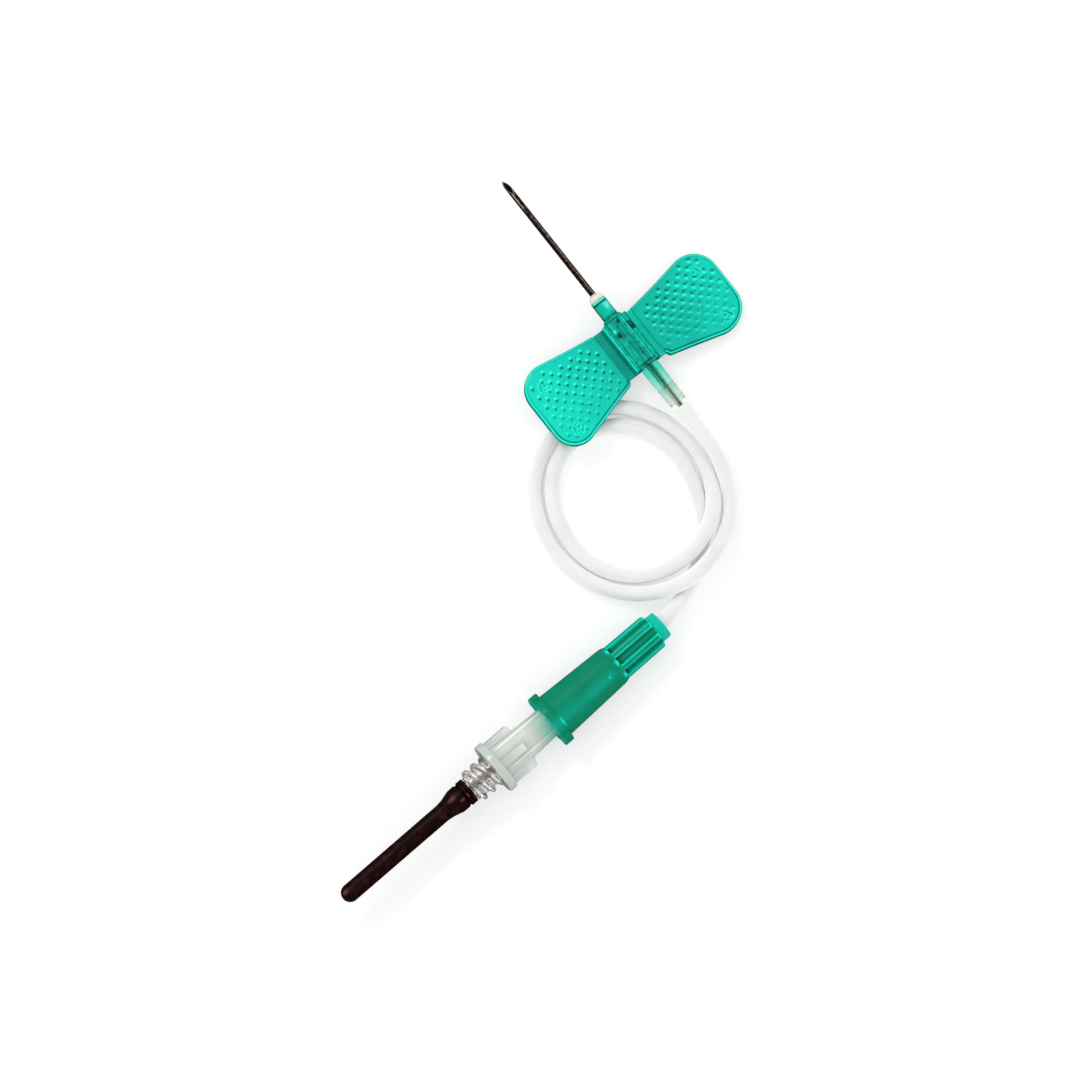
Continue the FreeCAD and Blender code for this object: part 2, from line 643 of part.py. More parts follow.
def make_rear_bond():
    """Adhesive in the nipple's well, round the rear cannula."""
    body = new_body("rear_needle_bond")
    floor = f"({NIPPLE_END} - dims.rear_well_depth)"
    radius = "dims.rear_well_diameter / 2"
    section = [(floor, CANNULA_HOLE), (floor, radius), (NIPPLE_END, radius), (NIPPLE_END, CANNULA_HOLE)]
    revolve(body, "rear_bond_turned", section)
    return body


def make_sleeve():
    """The rubber sleeve: thick open end, groove, swelling over the barb, and a closed round tip."""
    body = new_body("rubber_sleeve")
    base_end = f"({SLEEVE_FRONT} + dims.sleeve_base_length)"
    groove_end = f"({base_end} + dims.sleeve_groove_length)"
    bulge_end = f"({groove_end} + dims.sleeve_bulge_length)"
    neck_end = f"({bulge_end} + dims.sleeve_neck_length)"
    radius = "dims.sleeve_diameter / 2"
    barb_hole = "(dims.barb_diameter / 2 + dims.fit_gap)"
    hole_end = f"({NIPPLE_END} + dims.fit_gap)"
    section = [
        (SLEEVE_FRONT, barb_hole),
        (SLEEVE_FRONT, "dims.sleeve_base_diameter / 2"),
        (base_end, "dims.sleeve_base_diameter / 2"),
        (base_end, "dims.sleeve_groove_diameter / 2"),
        (groove_end, "dims.sleeve_groove_diameter / 2"),
        (groove_end, "dims.sleeve_bulge_diameter / 2"),
        (bulge_end, "dims.sleeve_bulge_diameter / 2"),
        (neck_end, radius),
        (f"{SLEEVE_TIP} - {radius}", radius),
        (SLEEVE_TIP, "0"),
        (f"{SLEEVE_TIP} - dims.sleeve_end_wall", "0"),
        (f"{SLEEVE_TIP} - dims.sleeve_end_wall", "dims.sleeve_bore / 2"),
        (f"{hole_end} + dims.barb_length", "dims.sleeve_bore / 2"),
        (hole_end, barb_hole),
    ]
    revolve(body, "sleeve_turned", section, {8: (radius, 1)})
    return body


def tube_path(route):
    """A wire of straight runs joined by tangent arcs, and the arcs' radii."""
    points = [Vector(*point) for point in route]
    edges, radii = [], []
    last = points[0]
    for before, corner, after in zip(points, points[1:], points[2:]):
        back, ahead = before - corner, after - corner
        tangent = ARC_SHARE * min(back.Length, ahead.Length)
        half_turn = (math.pi - back.getAngle(ahead)) / 2
        radius = tangent / math.tan(half_turn)
        back.normalize()
        ahead.normalize()
        enter, leave = corner + back * tangent, corner + ahead * tangent
        towards_centre = (back + ahead).normalize()
        crown = corner + towards_centre * (math.hypot(tangent, radius) - radius)
        edges.append(Part.LineSegment(last, enter).toShape())
        edges.append(Part.Arc(enter, crown, leave).toShape())
        radii.append(radius)
        last = leave
    edges.append(Part.LineSegment(last, points[-1]).toShape())
    return Part.Wire(edges), radii


def make_tubing():
    """The soft tubing, swept along its laid route, with its bore open at both ends.

    It is plain between them, and twelve sides stand for its round section.
    """
    path, radii = tube_path(TUBE_ROUTE)
    ends = [[Vector(*point) for point in pair] for pair in (TUBE_ROUTE[:2], TUBE_ROUTE[:-3:-1])]
    bores = []
    for mouth, inward in ends:
        square = Placement(mouth, Rotation(Vector(0, 0, 1), inward - mouth))
        bore = Part.makeCylinder(size("dims.tube_bore / 2"), size("dims.tube_bore_length"))
        bore.Placement = square
        bores.append(bore)
    radius = size("dims.tube_diameter / 2")
    turns = [2 * math.pi * side / TUBE_SIDES for side in range(TUBE_SIDES)]
    flat = [Vector(radius * math.cos(turn), radius * math.sin(turn), 0) for turn in turns]
    corners = [bores[0].Placement.multVec(corner) for corner in flat]
    ring = Part.makePolygon([*corners, corners[0]])
    swept = path.makePipeShell([ring], True, False)
    section = Part.Face(ring).Area
    share = swept.Volume / (section * path.Length)
    print(f"tubing: length {path.Length:.1f} mm, radii {[round(radius, 1) for radius in radii]}")
    print(f"tubing: volume over section times length {share:.4f}")
    if abs(share - 1) > 0.01:
        raise SystemExit("the tubing's volume doesn't match its section and length")
    tubing = doc.addObject("Part::Feature", "tubing")
    tubing.Label = "tubing"
    tubing.Shape = swept.cut(bores)
    return tubing


def lowest_point(pieces):
    """The lowest height that any of the pieces reaches."""
    return min(piece.Shape.optimalBoundingBox(False, False).ZMin for piece in pieces)


winged_pieces = {
    "needle_cannula": make_cannula("needle_cannula", "dims.needle_length", "0", True),
    "needle_bond": make_bond(),
    "needle_hub": make_hub(),
    "wing_barrel": make_barrel(),
    "wing_left": make_wing("wing_left", -1),
    "wing_right": make_wing("wing_right", 1),
}
connector = make_connector()
adapter_pieces = {
    "luer_adapter": make_adapter(),
    "rear_cannula": make_cannula("rear_cannula", "dims.rear_length", REAR_TIP, False),
    "rear_needle_bond": make_rear_bond(),
    "rubber_sleeve": make_sleeve(),
}
tubing = make_tubing()
doc.recompute()

for piece in winged_pieces.values():
    piece.Placement = winged_placement()
connector.Placement = connector_placement(size("dims.connector_turn_angle"))
for piece in adapter_pieces.values():
    piece.Placement = connector_placement(size("dims.fin_turn_angle"))
doc.recompute()
table_height = -lowest_point([connector, *adapter_pieces.values()])
connector.Placement = connector_placement(size("dims.connector_turn_angle"), table_height)
for piece in adapter_pieces.values():
    piece.Placement = connector_placement(size("dims.fin_turn_angle"), table_height)
doc.recompute()

for item in doc.Objects:
    if "Invalid" in item.State or "Error" in item.State:
        raise SystemExit(f"{item.Label} failed: {item.State}")

pieces = [*winged_pieces.values(), tubing, connector, *adapter_pieces.values()]
os.makedirs("parts", exist_ok=True)
for piece in pieces:
    if piece.Shape.isNull() or not piece.Shape.isValid():
        raise SystemExit(f"{piece.Label} has no sound shape")
    print(f"{piece.Label}: {len(piece.Shape.Solids)} solid, {piece.Shape.Volume:.3f} mm3")
    piece.Shape.exportStep(f"parts/{piece.Label}.step")
print(f"connector axis height at the tubing side: {table_height:.3f} mm")
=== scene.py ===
"""Looks of a winged blood-collection set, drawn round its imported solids.

Each sub-assembly is drawn in millimetres on a bench of its own, with X along its axis, and set down
where the frame's joints and mounts say that it lies.
"""

import json
import logging
import math
from collections.abc import Callable, Sequence
from dataclasses import dataclass, field
from enum import Enum

import bmesh
import bpy
import numpy as np
from mathutils import Matrix, Vector


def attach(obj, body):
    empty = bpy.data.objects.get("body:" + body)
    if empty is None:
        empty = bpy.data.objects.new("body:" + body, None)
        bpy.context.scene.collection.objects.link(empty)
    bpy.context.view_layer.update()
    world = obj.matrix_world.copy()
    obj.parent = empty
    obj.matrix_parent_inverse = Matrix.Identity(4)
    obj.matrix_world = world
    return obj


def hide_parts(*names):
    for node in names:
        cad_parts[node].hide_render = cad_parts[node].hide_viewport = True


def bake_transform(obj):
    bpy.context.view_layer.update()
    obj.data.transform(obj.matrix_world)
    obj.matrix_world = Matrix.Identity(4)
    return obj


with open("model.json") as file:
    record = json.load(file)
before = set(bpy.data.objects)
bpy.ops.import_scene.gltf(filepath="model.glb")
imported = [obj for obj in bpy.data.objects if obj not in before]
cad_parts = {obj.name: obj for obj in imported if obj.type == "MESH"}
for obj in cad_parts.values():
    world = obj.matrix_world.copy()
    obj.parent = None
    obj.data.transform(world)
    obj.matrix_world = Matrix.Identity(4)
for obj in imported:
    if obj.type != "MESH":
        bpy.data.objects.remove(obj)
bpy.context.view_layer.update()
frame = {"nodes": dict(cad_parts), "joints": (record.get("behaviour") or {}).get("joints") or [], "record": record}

MM = 0.001
LOG = logging.getLogger("butterfly_needle")

Corner = tuple[float, ...]
Skin = tuple[np.ndarray, list[tuple[int, ...]]]
ToneMap = Callable[[np.ndarray], np.ndarray]

# How far the connector is turned about its axis from the adapter, whose mounts give the bench.
CONNECTOR_TURN_DEGREES = -1.0


class Side(Enum):
    """Which wing is meant, as the sign of its place across the needle."""

    LEFT = -1
    RIGHT = 1

    @property
    def word(self) -> str:
        """The side's name as the nodes, bodies and joints spell it."""
        return self.name.lower()


@dataclass(frozen=True)
class Bench:
    """A sub-assembly's own axes, on which its pieces are drawn in millimetres.

    Attributes:
        origin: where the bench's zero lies in the frame, in metres.
        along: direction of the bench's X, the axis of what is drawn on it.
        across: direction of its Y.
        up: direction of its Z.
    """

    origin: Vector
    along: Vector
    across: Vector
    up: Vector

    @property
    def axes(self) -> Matrix:
        """The three directions, as the columns of a matrix."""
        return Matrix((self.along, self.across, self.up)).transposed()

    def at(self, x: float, y: float = 0.0, z: float = 0.0) -> Vector:
        """The place in the frame, in metres, of one point of the bench."""
        return self.origin + self.axes @ Vector((x, y, z)) * MM

    def place(self, points: np.ndarray) -> np.ndarray:
        """The places in the frame, in metres, of rows of points of the bench."""
        return np.array(self.origin) + points @ np.array(self.axes).T * MM

    def turned(self, degrees: float) -> "Bench":
        """The same bench, turned about its X axis."""
        spin = Matrix.Rotation(math.radians(degrees), 3, self.along)
        return Bench(self.origin, self.along, spin @ self.across, spin @ self.up)


def named(rows: Sequence[dict], name: str) -> dict:
    """The row of a list that has a given name."""
    return next(row for row in rows if row["name"] == name)


def smooth_step(low: float, high: float, values: np.ndarray) -> np.ndarray:
    """Rises smoothly from 0 at low to 1 at high."""
    share = np.clip((values - low) / (high - low), 0.0, 1.0)
    return share * share * (3.0 - 2.0 * share)


def ridge(middle: float, width: float, values: np.ndarray) -> np.ndarray:
    """A soft peak of height 1 at middle, that has fallen to a third at width."""
    return np.exp(-(((values - middle) / width) ** 2))


def soften(corners: Sequence[Corner], steps: int = 5) -> np.ndarray:
    """Rounds the corners of an open line.

    Args:
        corners: (x, y) or (x, y, radius) of each corner, in order.
        steps: straight pieces in each rounded corner.

    Returns:
        The line's points, one to a row.
    """
    spots = [np.array(corner[:2], float) for corner in corners]
    free = [0.49 if len(corner) > 2 else 0.98 for corner in corners]
    line = [spots[0]]
    for place in range(1, len(corners) - 1):
        given, corner = corners[place], spots[place]
        if len(given) < 3:
            line.append(corner)
            continue
        back, ahead = spots[place - 1] - corner, spots[place + 1] - corner
        room = min(free[place - 1] * np.linalg.norm(back), free[place + 1] * np.linalg.norm(ahead))
        back, ahead = back / np.linalg.norm(back), ahead / np.linalg.norm(ahead)
        half = math.acos(float(np.clip(back @ ahead, -1.0, 1.0))) / 2
        cut = min(given[2] / math.tan(half), room)
        radius = cut * math.tan(half)
        bisector = (back + ahead) / np.linalg.norm(back + ahead)
        centre = corner + bisector * radius / math.sin(half)
        start, end = corner + back * cut - centre, corner + ahead * cut - centre
        sweep = math.pi - 2 * half
        for step in range(steps + 1):
            share = step / steps
            arm = math.sin((1 - share) * sweep) * start + math.sin(share * sweep) * end
            line.append(centre + arm / math.sin(sweep))
    line.append(spots[-1])
    return np.array(line)


def split_long(line: np.ndarray, longest: float) -> np.ndarray:
    """Adds points to a line, so that no straight piece of it is long.

    Args:
        line: the line's points, one to a row.
        longest: the most that two neighbouring points may lie apart.

    Returns:
        The line with the added points.
    """
    points = [line[0]]
    for start, end in zip(line, line[1:]):
        count = max(1, math.ceil(np.linalg.norm(end - start) / longest))
        points += [start + (end - start) * step / count for step in range(1, count + 1)]
    return np.array(points)


def grid_faces(rows: int, columns: int, closed: bool = False) -> list[tuple[int, ...]]:
    """Quads over a grid of points.

    Args:
        rows: how many rows the grid has.
        columns: how many points each row has.
        closed: whether each row is a ring.

    Returns:
        The point numbers of each quad, row by row.
    """
    spans = columns if closed else columns - 1
    faces = []
    for row in range(rows - 1):
        for column in range(spans):
            here, there = row * columns + column, row * columns + (column + 1) % columns
            faces.append((here, there, there + columns, here + columns))
    return faces


def polar(stations: np.ndarray, radii: np.ndarray, angles: np.ndarray) -> Skin:
    """A skin of rings round the bench's X axis.

    Args:
        stations: each ring's place along X.
        radii: each ring's radius at each angle, one ring to a row.
        angles: the angles, in radians from Y towards Z.

    Returns:
        The skin's points and faces.
    """
    along = np.broadcast_to(stations[:, None], radii.shape)
    points = np.stack((along, radii * np.cos(angles), radii * np.sin(angles)), axis=-1)
    return points.reshape(-1, 3), grid_faces(*radii.shape, closed=True)


def lathe(line: np.ndarray, around: int = 96) -> Skin:
    """Turns a line of (along, radius) points about the bench's X axis."""
    angles = np.linspace(0.0, 2 * math.pi, around, endpoint=False)
    return polar(line[:, 0], np.repeat(line[:, 1:2], around, axis=1), angles)


def make_piece(
    name: str,
    bench: Bench,
    skins: Sequence[Skin],
    tone: ToneMap | None = None,
    sharp_degrees: float = 34.0,
) -> bpy.types.Object:
    """Makes one piece from closed skins drawn on a bench.

    Args:
        name: the piece's name.
        bench: where it was drawn.
        skins: points in millimetres, and faces, of each closed skin.
        tone: gives each point's tone, -1 where its plastic looks deep and 1 where it looks thin; the same tone
            also carries painted highlights and painted shade.
        sharp_degrees: edges that turn by more than this are shown sharp.

    Returns:
        The new object, in the frame's place.
    """
    drawn = np.concatenate([points for points, _ in skins])
    faces, start = [], 0
    for points, quads in skins:
        faces += [tuple(index + start for index in quad) for quad in quads]
        start += len(points)
    mesh = bpy.data.meshes.new(name)
    mesh.from_pydata(bench.place(drawn).tolist(), [], faces)
    if tone:
        values = np.clip(tone(drawn), -1.0, 1.0).astype(np.float32)
        mesh.attributes.new("tone", "FLOAT", "POINT").data.foreach_set("value", values)
    work = bmesh.new()
    work.from_mesh(mesh)
    bmesh.ops.remove_doubles(work, verts=work.verts, dist=2e-4 * MM)
    bmesh.ops.recalc_face_normals(work, faces=work.faces)
    work.to_mesh(mesh)
    work.free()
    mesh.shade_smooth()
    mesh.set_sharp_from_angle(angle=math.radians(sharp_degrees))
    piece = bpy.data.objects.new(name, mesh)
    bpy.context.scene.collection.objects.link(piece)
    return piece


def linear(colour: str) -> tuple[float, float, float, float]:
    """Turns an sRGB hex colour to linear light.

    Args:
        colour: the colour as "#RRGGBB".

    Returns:
        Linear red, green and blue, and an alpha of 1.
    """
    channels = [int(colour[place : place + 2], 16) / 255 for place in (1, 3, 5)]
    light = [c / 12.92 if c <= 0.04045 else ((c + 0.055) / 1.055) ** 2.4 for c in channels]
    return (light[0], light[1], light[2], 1.0)


def add_node(
    tree: bpy.types.NodeTree,
    kind: str,
    settings: dict | None = None,
    links: dict | None = None,
) -> bpy.types.Node:
    """Adds a node with its settings and links.

    Args:
        tree: the node tree that it joins.
        kind: the node's type.
        settings: values of its properties, or of its inputs by name or number.
        links: sockets that lead into its inputs, by name or number.

    Returns:
        The new node.
    """
    node = tree.nodes.new(kind)
    for name, value in (settings or {}).items():
        if isinstance(name, str) and hasattr(node, name):
            setattr(node, name, value)
        else:
            node.inputs[name].default_value = value
    for name, source in (links or {}).items():
        tree.links.new(source, node.inputs[name])
    return node


@dataclass(frozen=True)
class Finish:
    """What a piece is made of and how its surface was made.

    Attributes:
        name: the material's name.
        deep: colour where the plastic is thick or something dark lies behind it, and of painted shade.
        body: its usual colour.
        thin: colour where it is thin, and of painted highlights.
        roughness: the surface's roughness.
        ior: index of refraction of what isn't metal.
        glare: level of the plain mirror reflection, lower where fine texture breaks it up.
        metallic: 1 for bare metal.
        see_through: share of the light that passes straight through.
        scatter: share of the light that wanders inside.
        scatter_mm: how far that light wanders.
        cloud_mm: size of the slow changes of colour.
        cloud: how much of the tone they take.
        grain_mm: size of the surface's grain.
        grain_stretch: how many times longer the grain is along the axis.
        grain_depth_mm: height of that grain.
        gloss_change: how much the roughness changes with the grain.
    """

    name: str
    deep: str
    body: str
    thin: str
    roughness: float
    ior: float = 1.5
    glare: float = 0.5
    metallic: float = 0.0
    see_through: float = 0.0
    scatter: float = 0.0
    scatter_mm: float = 0.4
    cloud_mm: float = 2.0
    cloud: float = 0.15
    grain_mm: float = 0.25
    grain_stretch: float = 1.0
    grain_depth_mm: float = 0.002
    gloss_change: float = 0.06

    def build(self, bench: Bench) -> bpy.types.Material:
        """Makes the material, with its patterns laid along a bench's axes.

        Args:
            bench: the bench of the piece that it dresses.

        Returns:
            The new material.
        """
        material = bpy.data.materials.new(self.name)
        material.use_nodes = True
        tree = material.node_tree
        tree.nodes.clear()
        spot = add_node(tree, "ShaderNodeTexCoord")
        lay = {
            "vector_type": "TEXTURE",
            "Location": bench.origin,
            "Rotation": bench.axes.to_euler(),
            "Scale": (MM, MM, MM),
        }
        local = add_node(tree, "ShaderNodeMapping", lay, {"Vector": spot.outputs["Object"]})
        cloud = add_node(
            tree,
            "ShaderNodeTexNoise",
            {"Scale": 1 / self.cloud_mm, "Detail": 2.0},
            {"Vector": local.outputs[0]},
        )
        shift = add_node(
            tree,
            "ShaderNodeMapRange",
            {"From Min": 0.25, "From Max": 0.75, "To Min": -self.cloud, "To Max": self.cloud},
            {"Value": cloud.outputs[0]},
        )
        tone = add_node(tree, "ShaderNodeAttribute", {"attribute_name": "tone"})
        total = add_node(
            tree,
            "ShaderNodeMath",
            {"operation": "ADD"},
            {0: tone.outputs["Fac"], 1: shift.outputs[0]},
        )
        level = add_node(
            tree,
            "ShaderNodeMapRange",
            {"From Min": -1.0, "From Max": 1.0},
            {"Value": total.outputs[0]},
        )
        ramp = add_node(tree, "ShaderNodeValToRGB", links={"Fac": level.outputs[0]})
        stops = ramp.color_ramp.elements
        stops[0].color = linear(self.deep)
        stops[1].color = linear(self.thin)
        stops.new(0.5).color = linear(self.body)
        stretch = add_node(
            tree,
            "ShaderNodeMapping",
            {"Scale": (1 / (self.grain_mm * self.grain_stretch), 1 / self.grain_mm, 1 / self.grain_mm)},
            {"Vector": local.outputs[0]},
        )
        grain = add_node(
            tree,
            "ShaderNodeTexNoise",
            {"Scale": 1.0, "Detail": 3.0},
            {"Vector": stretch.outputs[0]},
        )
        gloss = add_node(
            tree,
            "ShaderNodeMapRange",
            {
                "From Min": 0.25,
                "From Max": 0.75,
                "To Min": self.roughness - self.gloss_change,
                "To Max": self.roughness + self.gloss_change,
            },
            {"Value": grain.outputs[0]},
        )
        bump = add_node(
            tree,
            "ShaderNodeBump",
            {"Strength": 1.0, "Distance": self.grain_depth_mm * MM},
            {"Height": grain.outputs[0]},
        )
        surface = add_node(
            tree,
            "ShaderNodeBsdfPrincipled",
            {
                "Metallic": self.metallic,
                "IOR": self.ior,
                "Specular IOR Level": self.glare,
                "Transmission Weight": self.see_through,
                "Subsurface Weight": self.scatter,
                "Subsurface Radius": (1.0, 1.0, 1.0),
                "Subsurface Scale": self.scatter_mm * MM,
            },
            {
                "Base Color": ramp.outputs["Color"],
                "Roughness": gloss.outputs[0],
                "Normal": bump.outputs[0],
            },
        )
        add_node(tree, "ShaderNodeOutputMaterial", links={"Surface": surface.outputs[0]})
        return material


# The grain that a mould leaves is a few hundredths of a millimetre wide, too fine to show, so it is
# drawn 0.2 to 0.4 mm wide. The clouds are as large as flow marks and changes of thickness, 0.5 to 4 mm.

# Plasticised vinyl, injection moulded: bright teal, half translucent, with soft highlights.
WING_VINYL = Finish(
    "moulded_soft_vinyl_teal", "#00625A", "#00C7B0", "#14FFDC", 0.26, ior=1.45, glare=0.25,
    see_through=0.05, scatter=0.1, cloud_mm=3.0, cloud=0.08, grain_mm=0.35, grain_depth_mm=0.002,
)
# The same vinyl over the hub: darker, partly because the hub lies in it and partly as painted shade.
SLEEVE_VINYL = Finish(
    "moulded_soft_vinyl_sleeve", "#004232", "#00B098", "#20FFE6", 0.22, ior=1.45, glare=0.3,
    see_through=0.05, scatter=0.1, cloud_mm=0.6, cloud=0.3, grain_mm=0.3, grain_depth_mm=0.002,
)
# Clear ABS with a green dye: shows what lies in it.
HUB_ABS = Finish(
    "moulded_clear_abs_green", "#1E9C84", "#50E0C8", "#FAFDF6", 0.1, ior=1.4,
    see_through=0.94, cloud_mm=1.0, cloud=0.1, grain_mm=0.3, grain_depth_mm=0.0003, gloss_change=0.02,
)
# The same plastic at the nose, whose wall is thick: bright and cloudy.
NOSE_ABS = Finish(
    "moulded_abs_green_nose", "#003C2C", "#08C8AC", "#A0FFE6", 0.12, ior=1.5,
    see_through=0.1, scatter=0.2, cloud_mm=1.0, cloud=0.2, grain_mm=0.3, grain_depth_mm=0.002,
)
# Cured epoxy bead: off-white, and warm in its painted shade.
BEAD_EPOXY = Finish(
    "cured_epoxy_white", "#B4A89C", "#DAD5CC", "#FAF6F0", 0.2, ior=1.5,
    scatter=0.2, cloud_mm=0.5, cloud=0.2, grain_mm=0.2,
)
# Stainless capillary tube, drawn: its dull dark brown is a painted reflection of dark surroundings, with fine
# lines along it.
# The draw lines are really about 0.005 mm wide, and 0.05 mm here so that they show.
DRAWN_STEEL = Finish(
    "drawn_stainless_steel_dark", "#060101", "#32150F", "#EAD6C8", 0.36,
    metallic=0.5, cloud_mm=0.5, cloud=0.2, grain_mm=0.05, grain_stretch=60.0,
    grain_depth_mm=0.001, gloss_change=0.08,
)
# The same tube under the adhesive that holds it in the hub: a dark core of painted shade between light sides, in a
# cloudy film.
GLUED_STEEL = Finish(
    "drawn_steel_under_epoxy", "#180C08", "#A09C88", "#FFFFF2", 0.35, ior=1.5,
    cloud_mm=0.22, cloud=0.9, grain_mm=0.1,
)
# Extruded plasticised vinyl tubing: milky, with a soft sheen.
TUBE_VINYL = Finish(
    "extruded_soft_vinyl_milky", "#D4D4D3", "#E7E7E6", "#FFFFFF", 0.4, ior=1.45, glare=0.05,
    scatter=0.6, scatter_mm=1.0, cloud_mm=4.0, cloud=0.2, grain_mm=0.3, grain_stretch=6.0,
)
# The tubing's end, bonded face to face with the hub: clear, and light hardly bends between the two.
BONDED_VINYL = Finish(
    "solvent_bonded_vinyl_clear", "#E8F4EE", "#FAFDFC", "#FFFFFF", 0.05, ior=1.03,
    see_through=1.0, cloud_mm=1.0, cloud=0.05, grain_mm=0.3, grain_depth_mm=0.0005, gloss_change=0.02,
)
# Opaque ABS, injection moulded and glossy: deep green.
CONNECTOR_ABS = Finish(
    "moulded_abs_deep_green", "#004A28", "#007E5E", "#00F0DC", 0.32, ior=1.47, glare=0.12,
    scatter=0.05, cloud_mm=2.5, cloud=0.04, grain_mm=0.4, grain_depth_mm=0.002,
)
# Natural polypropylene, moulded: milky where it is thick; its deep colour is green, for the painted reflection of
# the connector.
ADAPTER_PP = Finish(
    "moulded_polypropylene_milky", "#6CC4AE", "#C6CEC6", "#FFFFF4", 0.2, ior=1.47,
    see_through=0.12, scatter=0.5, cloud_mm=2.0, cloud=0.08, grain_mm=0.3, grain_depth_mm=0.002,
)
# The same plastic in its flat fins: half clear, with a cool cast.
FIN_PP = Finish(
    "moulded_polypropylene_fins", "#9A989E", "#ECEEF2", "#FFFFF8", 0.12, ior=1.47, glare=0.3,
    see_through=0.6, scatter=0.4, cloud_mm=0.8, cloud=0.1, grain_mm=0.3, grain_depth_mm=0.001,
    gloss_change=0.03,
)
# The same plastic where it is thin: nearly clear.
THIN_PP = Finish(
    "moulded_polypropylene_clear", "#A08A80", "#F4F4F2", "#FFFFFF", 0.1, ior=1.47,
    see_through=0.8, scatter=0.3, cloud_mm=0.5, cloud=0.5, grain_mm=0.3, grain_depth_mm=0.001,
    gloss_change=0.03,
)
# Moulded isoprene rubber: nearly black with a red cast, half gloss. Its grain is 0.03 mm wide,
# and 0.12 mm here so that it shows.
SLEEVE_RUBBER = Finish(
    "moulded_isoprene_dark", "#020000", "#1E0302", "#6A4440", 0.46, ior=1.5, glare=0.12,
    cloud_mm=0.8, cloud=0.12, grain_mm=0.12, grain_depth_mm=0.003, gloss_change=0.1,
)


def dress(piece: bpy.types.Object, finish: Finish, bench: Bench) -> None:
    """Gives a piece one finish over its whole surface."""
    piece.data.materials.clear()
    piece.data.materials.append(finish.build(bench))


def dress_part(
    piece: bpy.types.Object,
    finish: Finish,
    bench: Bench,
    chosen: Callable[[Vector], bool],
) -> None:
    """Gives those faces of a piece whose middles are chosen a finish of their own.

    Args:
        piece: the piece, already dressed.
        finish: the finish of the chosen faces.
        bench: the bench along which its patterns lie.
        chosen: says of a face's middle, in metres, whether it is one of them.
    """
    piece.data.materials.append(finish.build(bench))
    for face in piece.data.polygons:
        if chosen(face.center):
            face.material_index = 1


def settle(
    piece: bpy.types.Object,
    body: str,
    nodes: Sequence[str] = (),
) -> bpy.types.Object:
    """Says where a piece belongs.

    Args:
        piece: the piece.
        body: the body that it rides on.
        nodes: the frame's nodes that it stands for.

    Returns:
        The same piece.
    """
    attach(piece, body)
    if nodes:
        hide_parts(*nodes)
    return piece


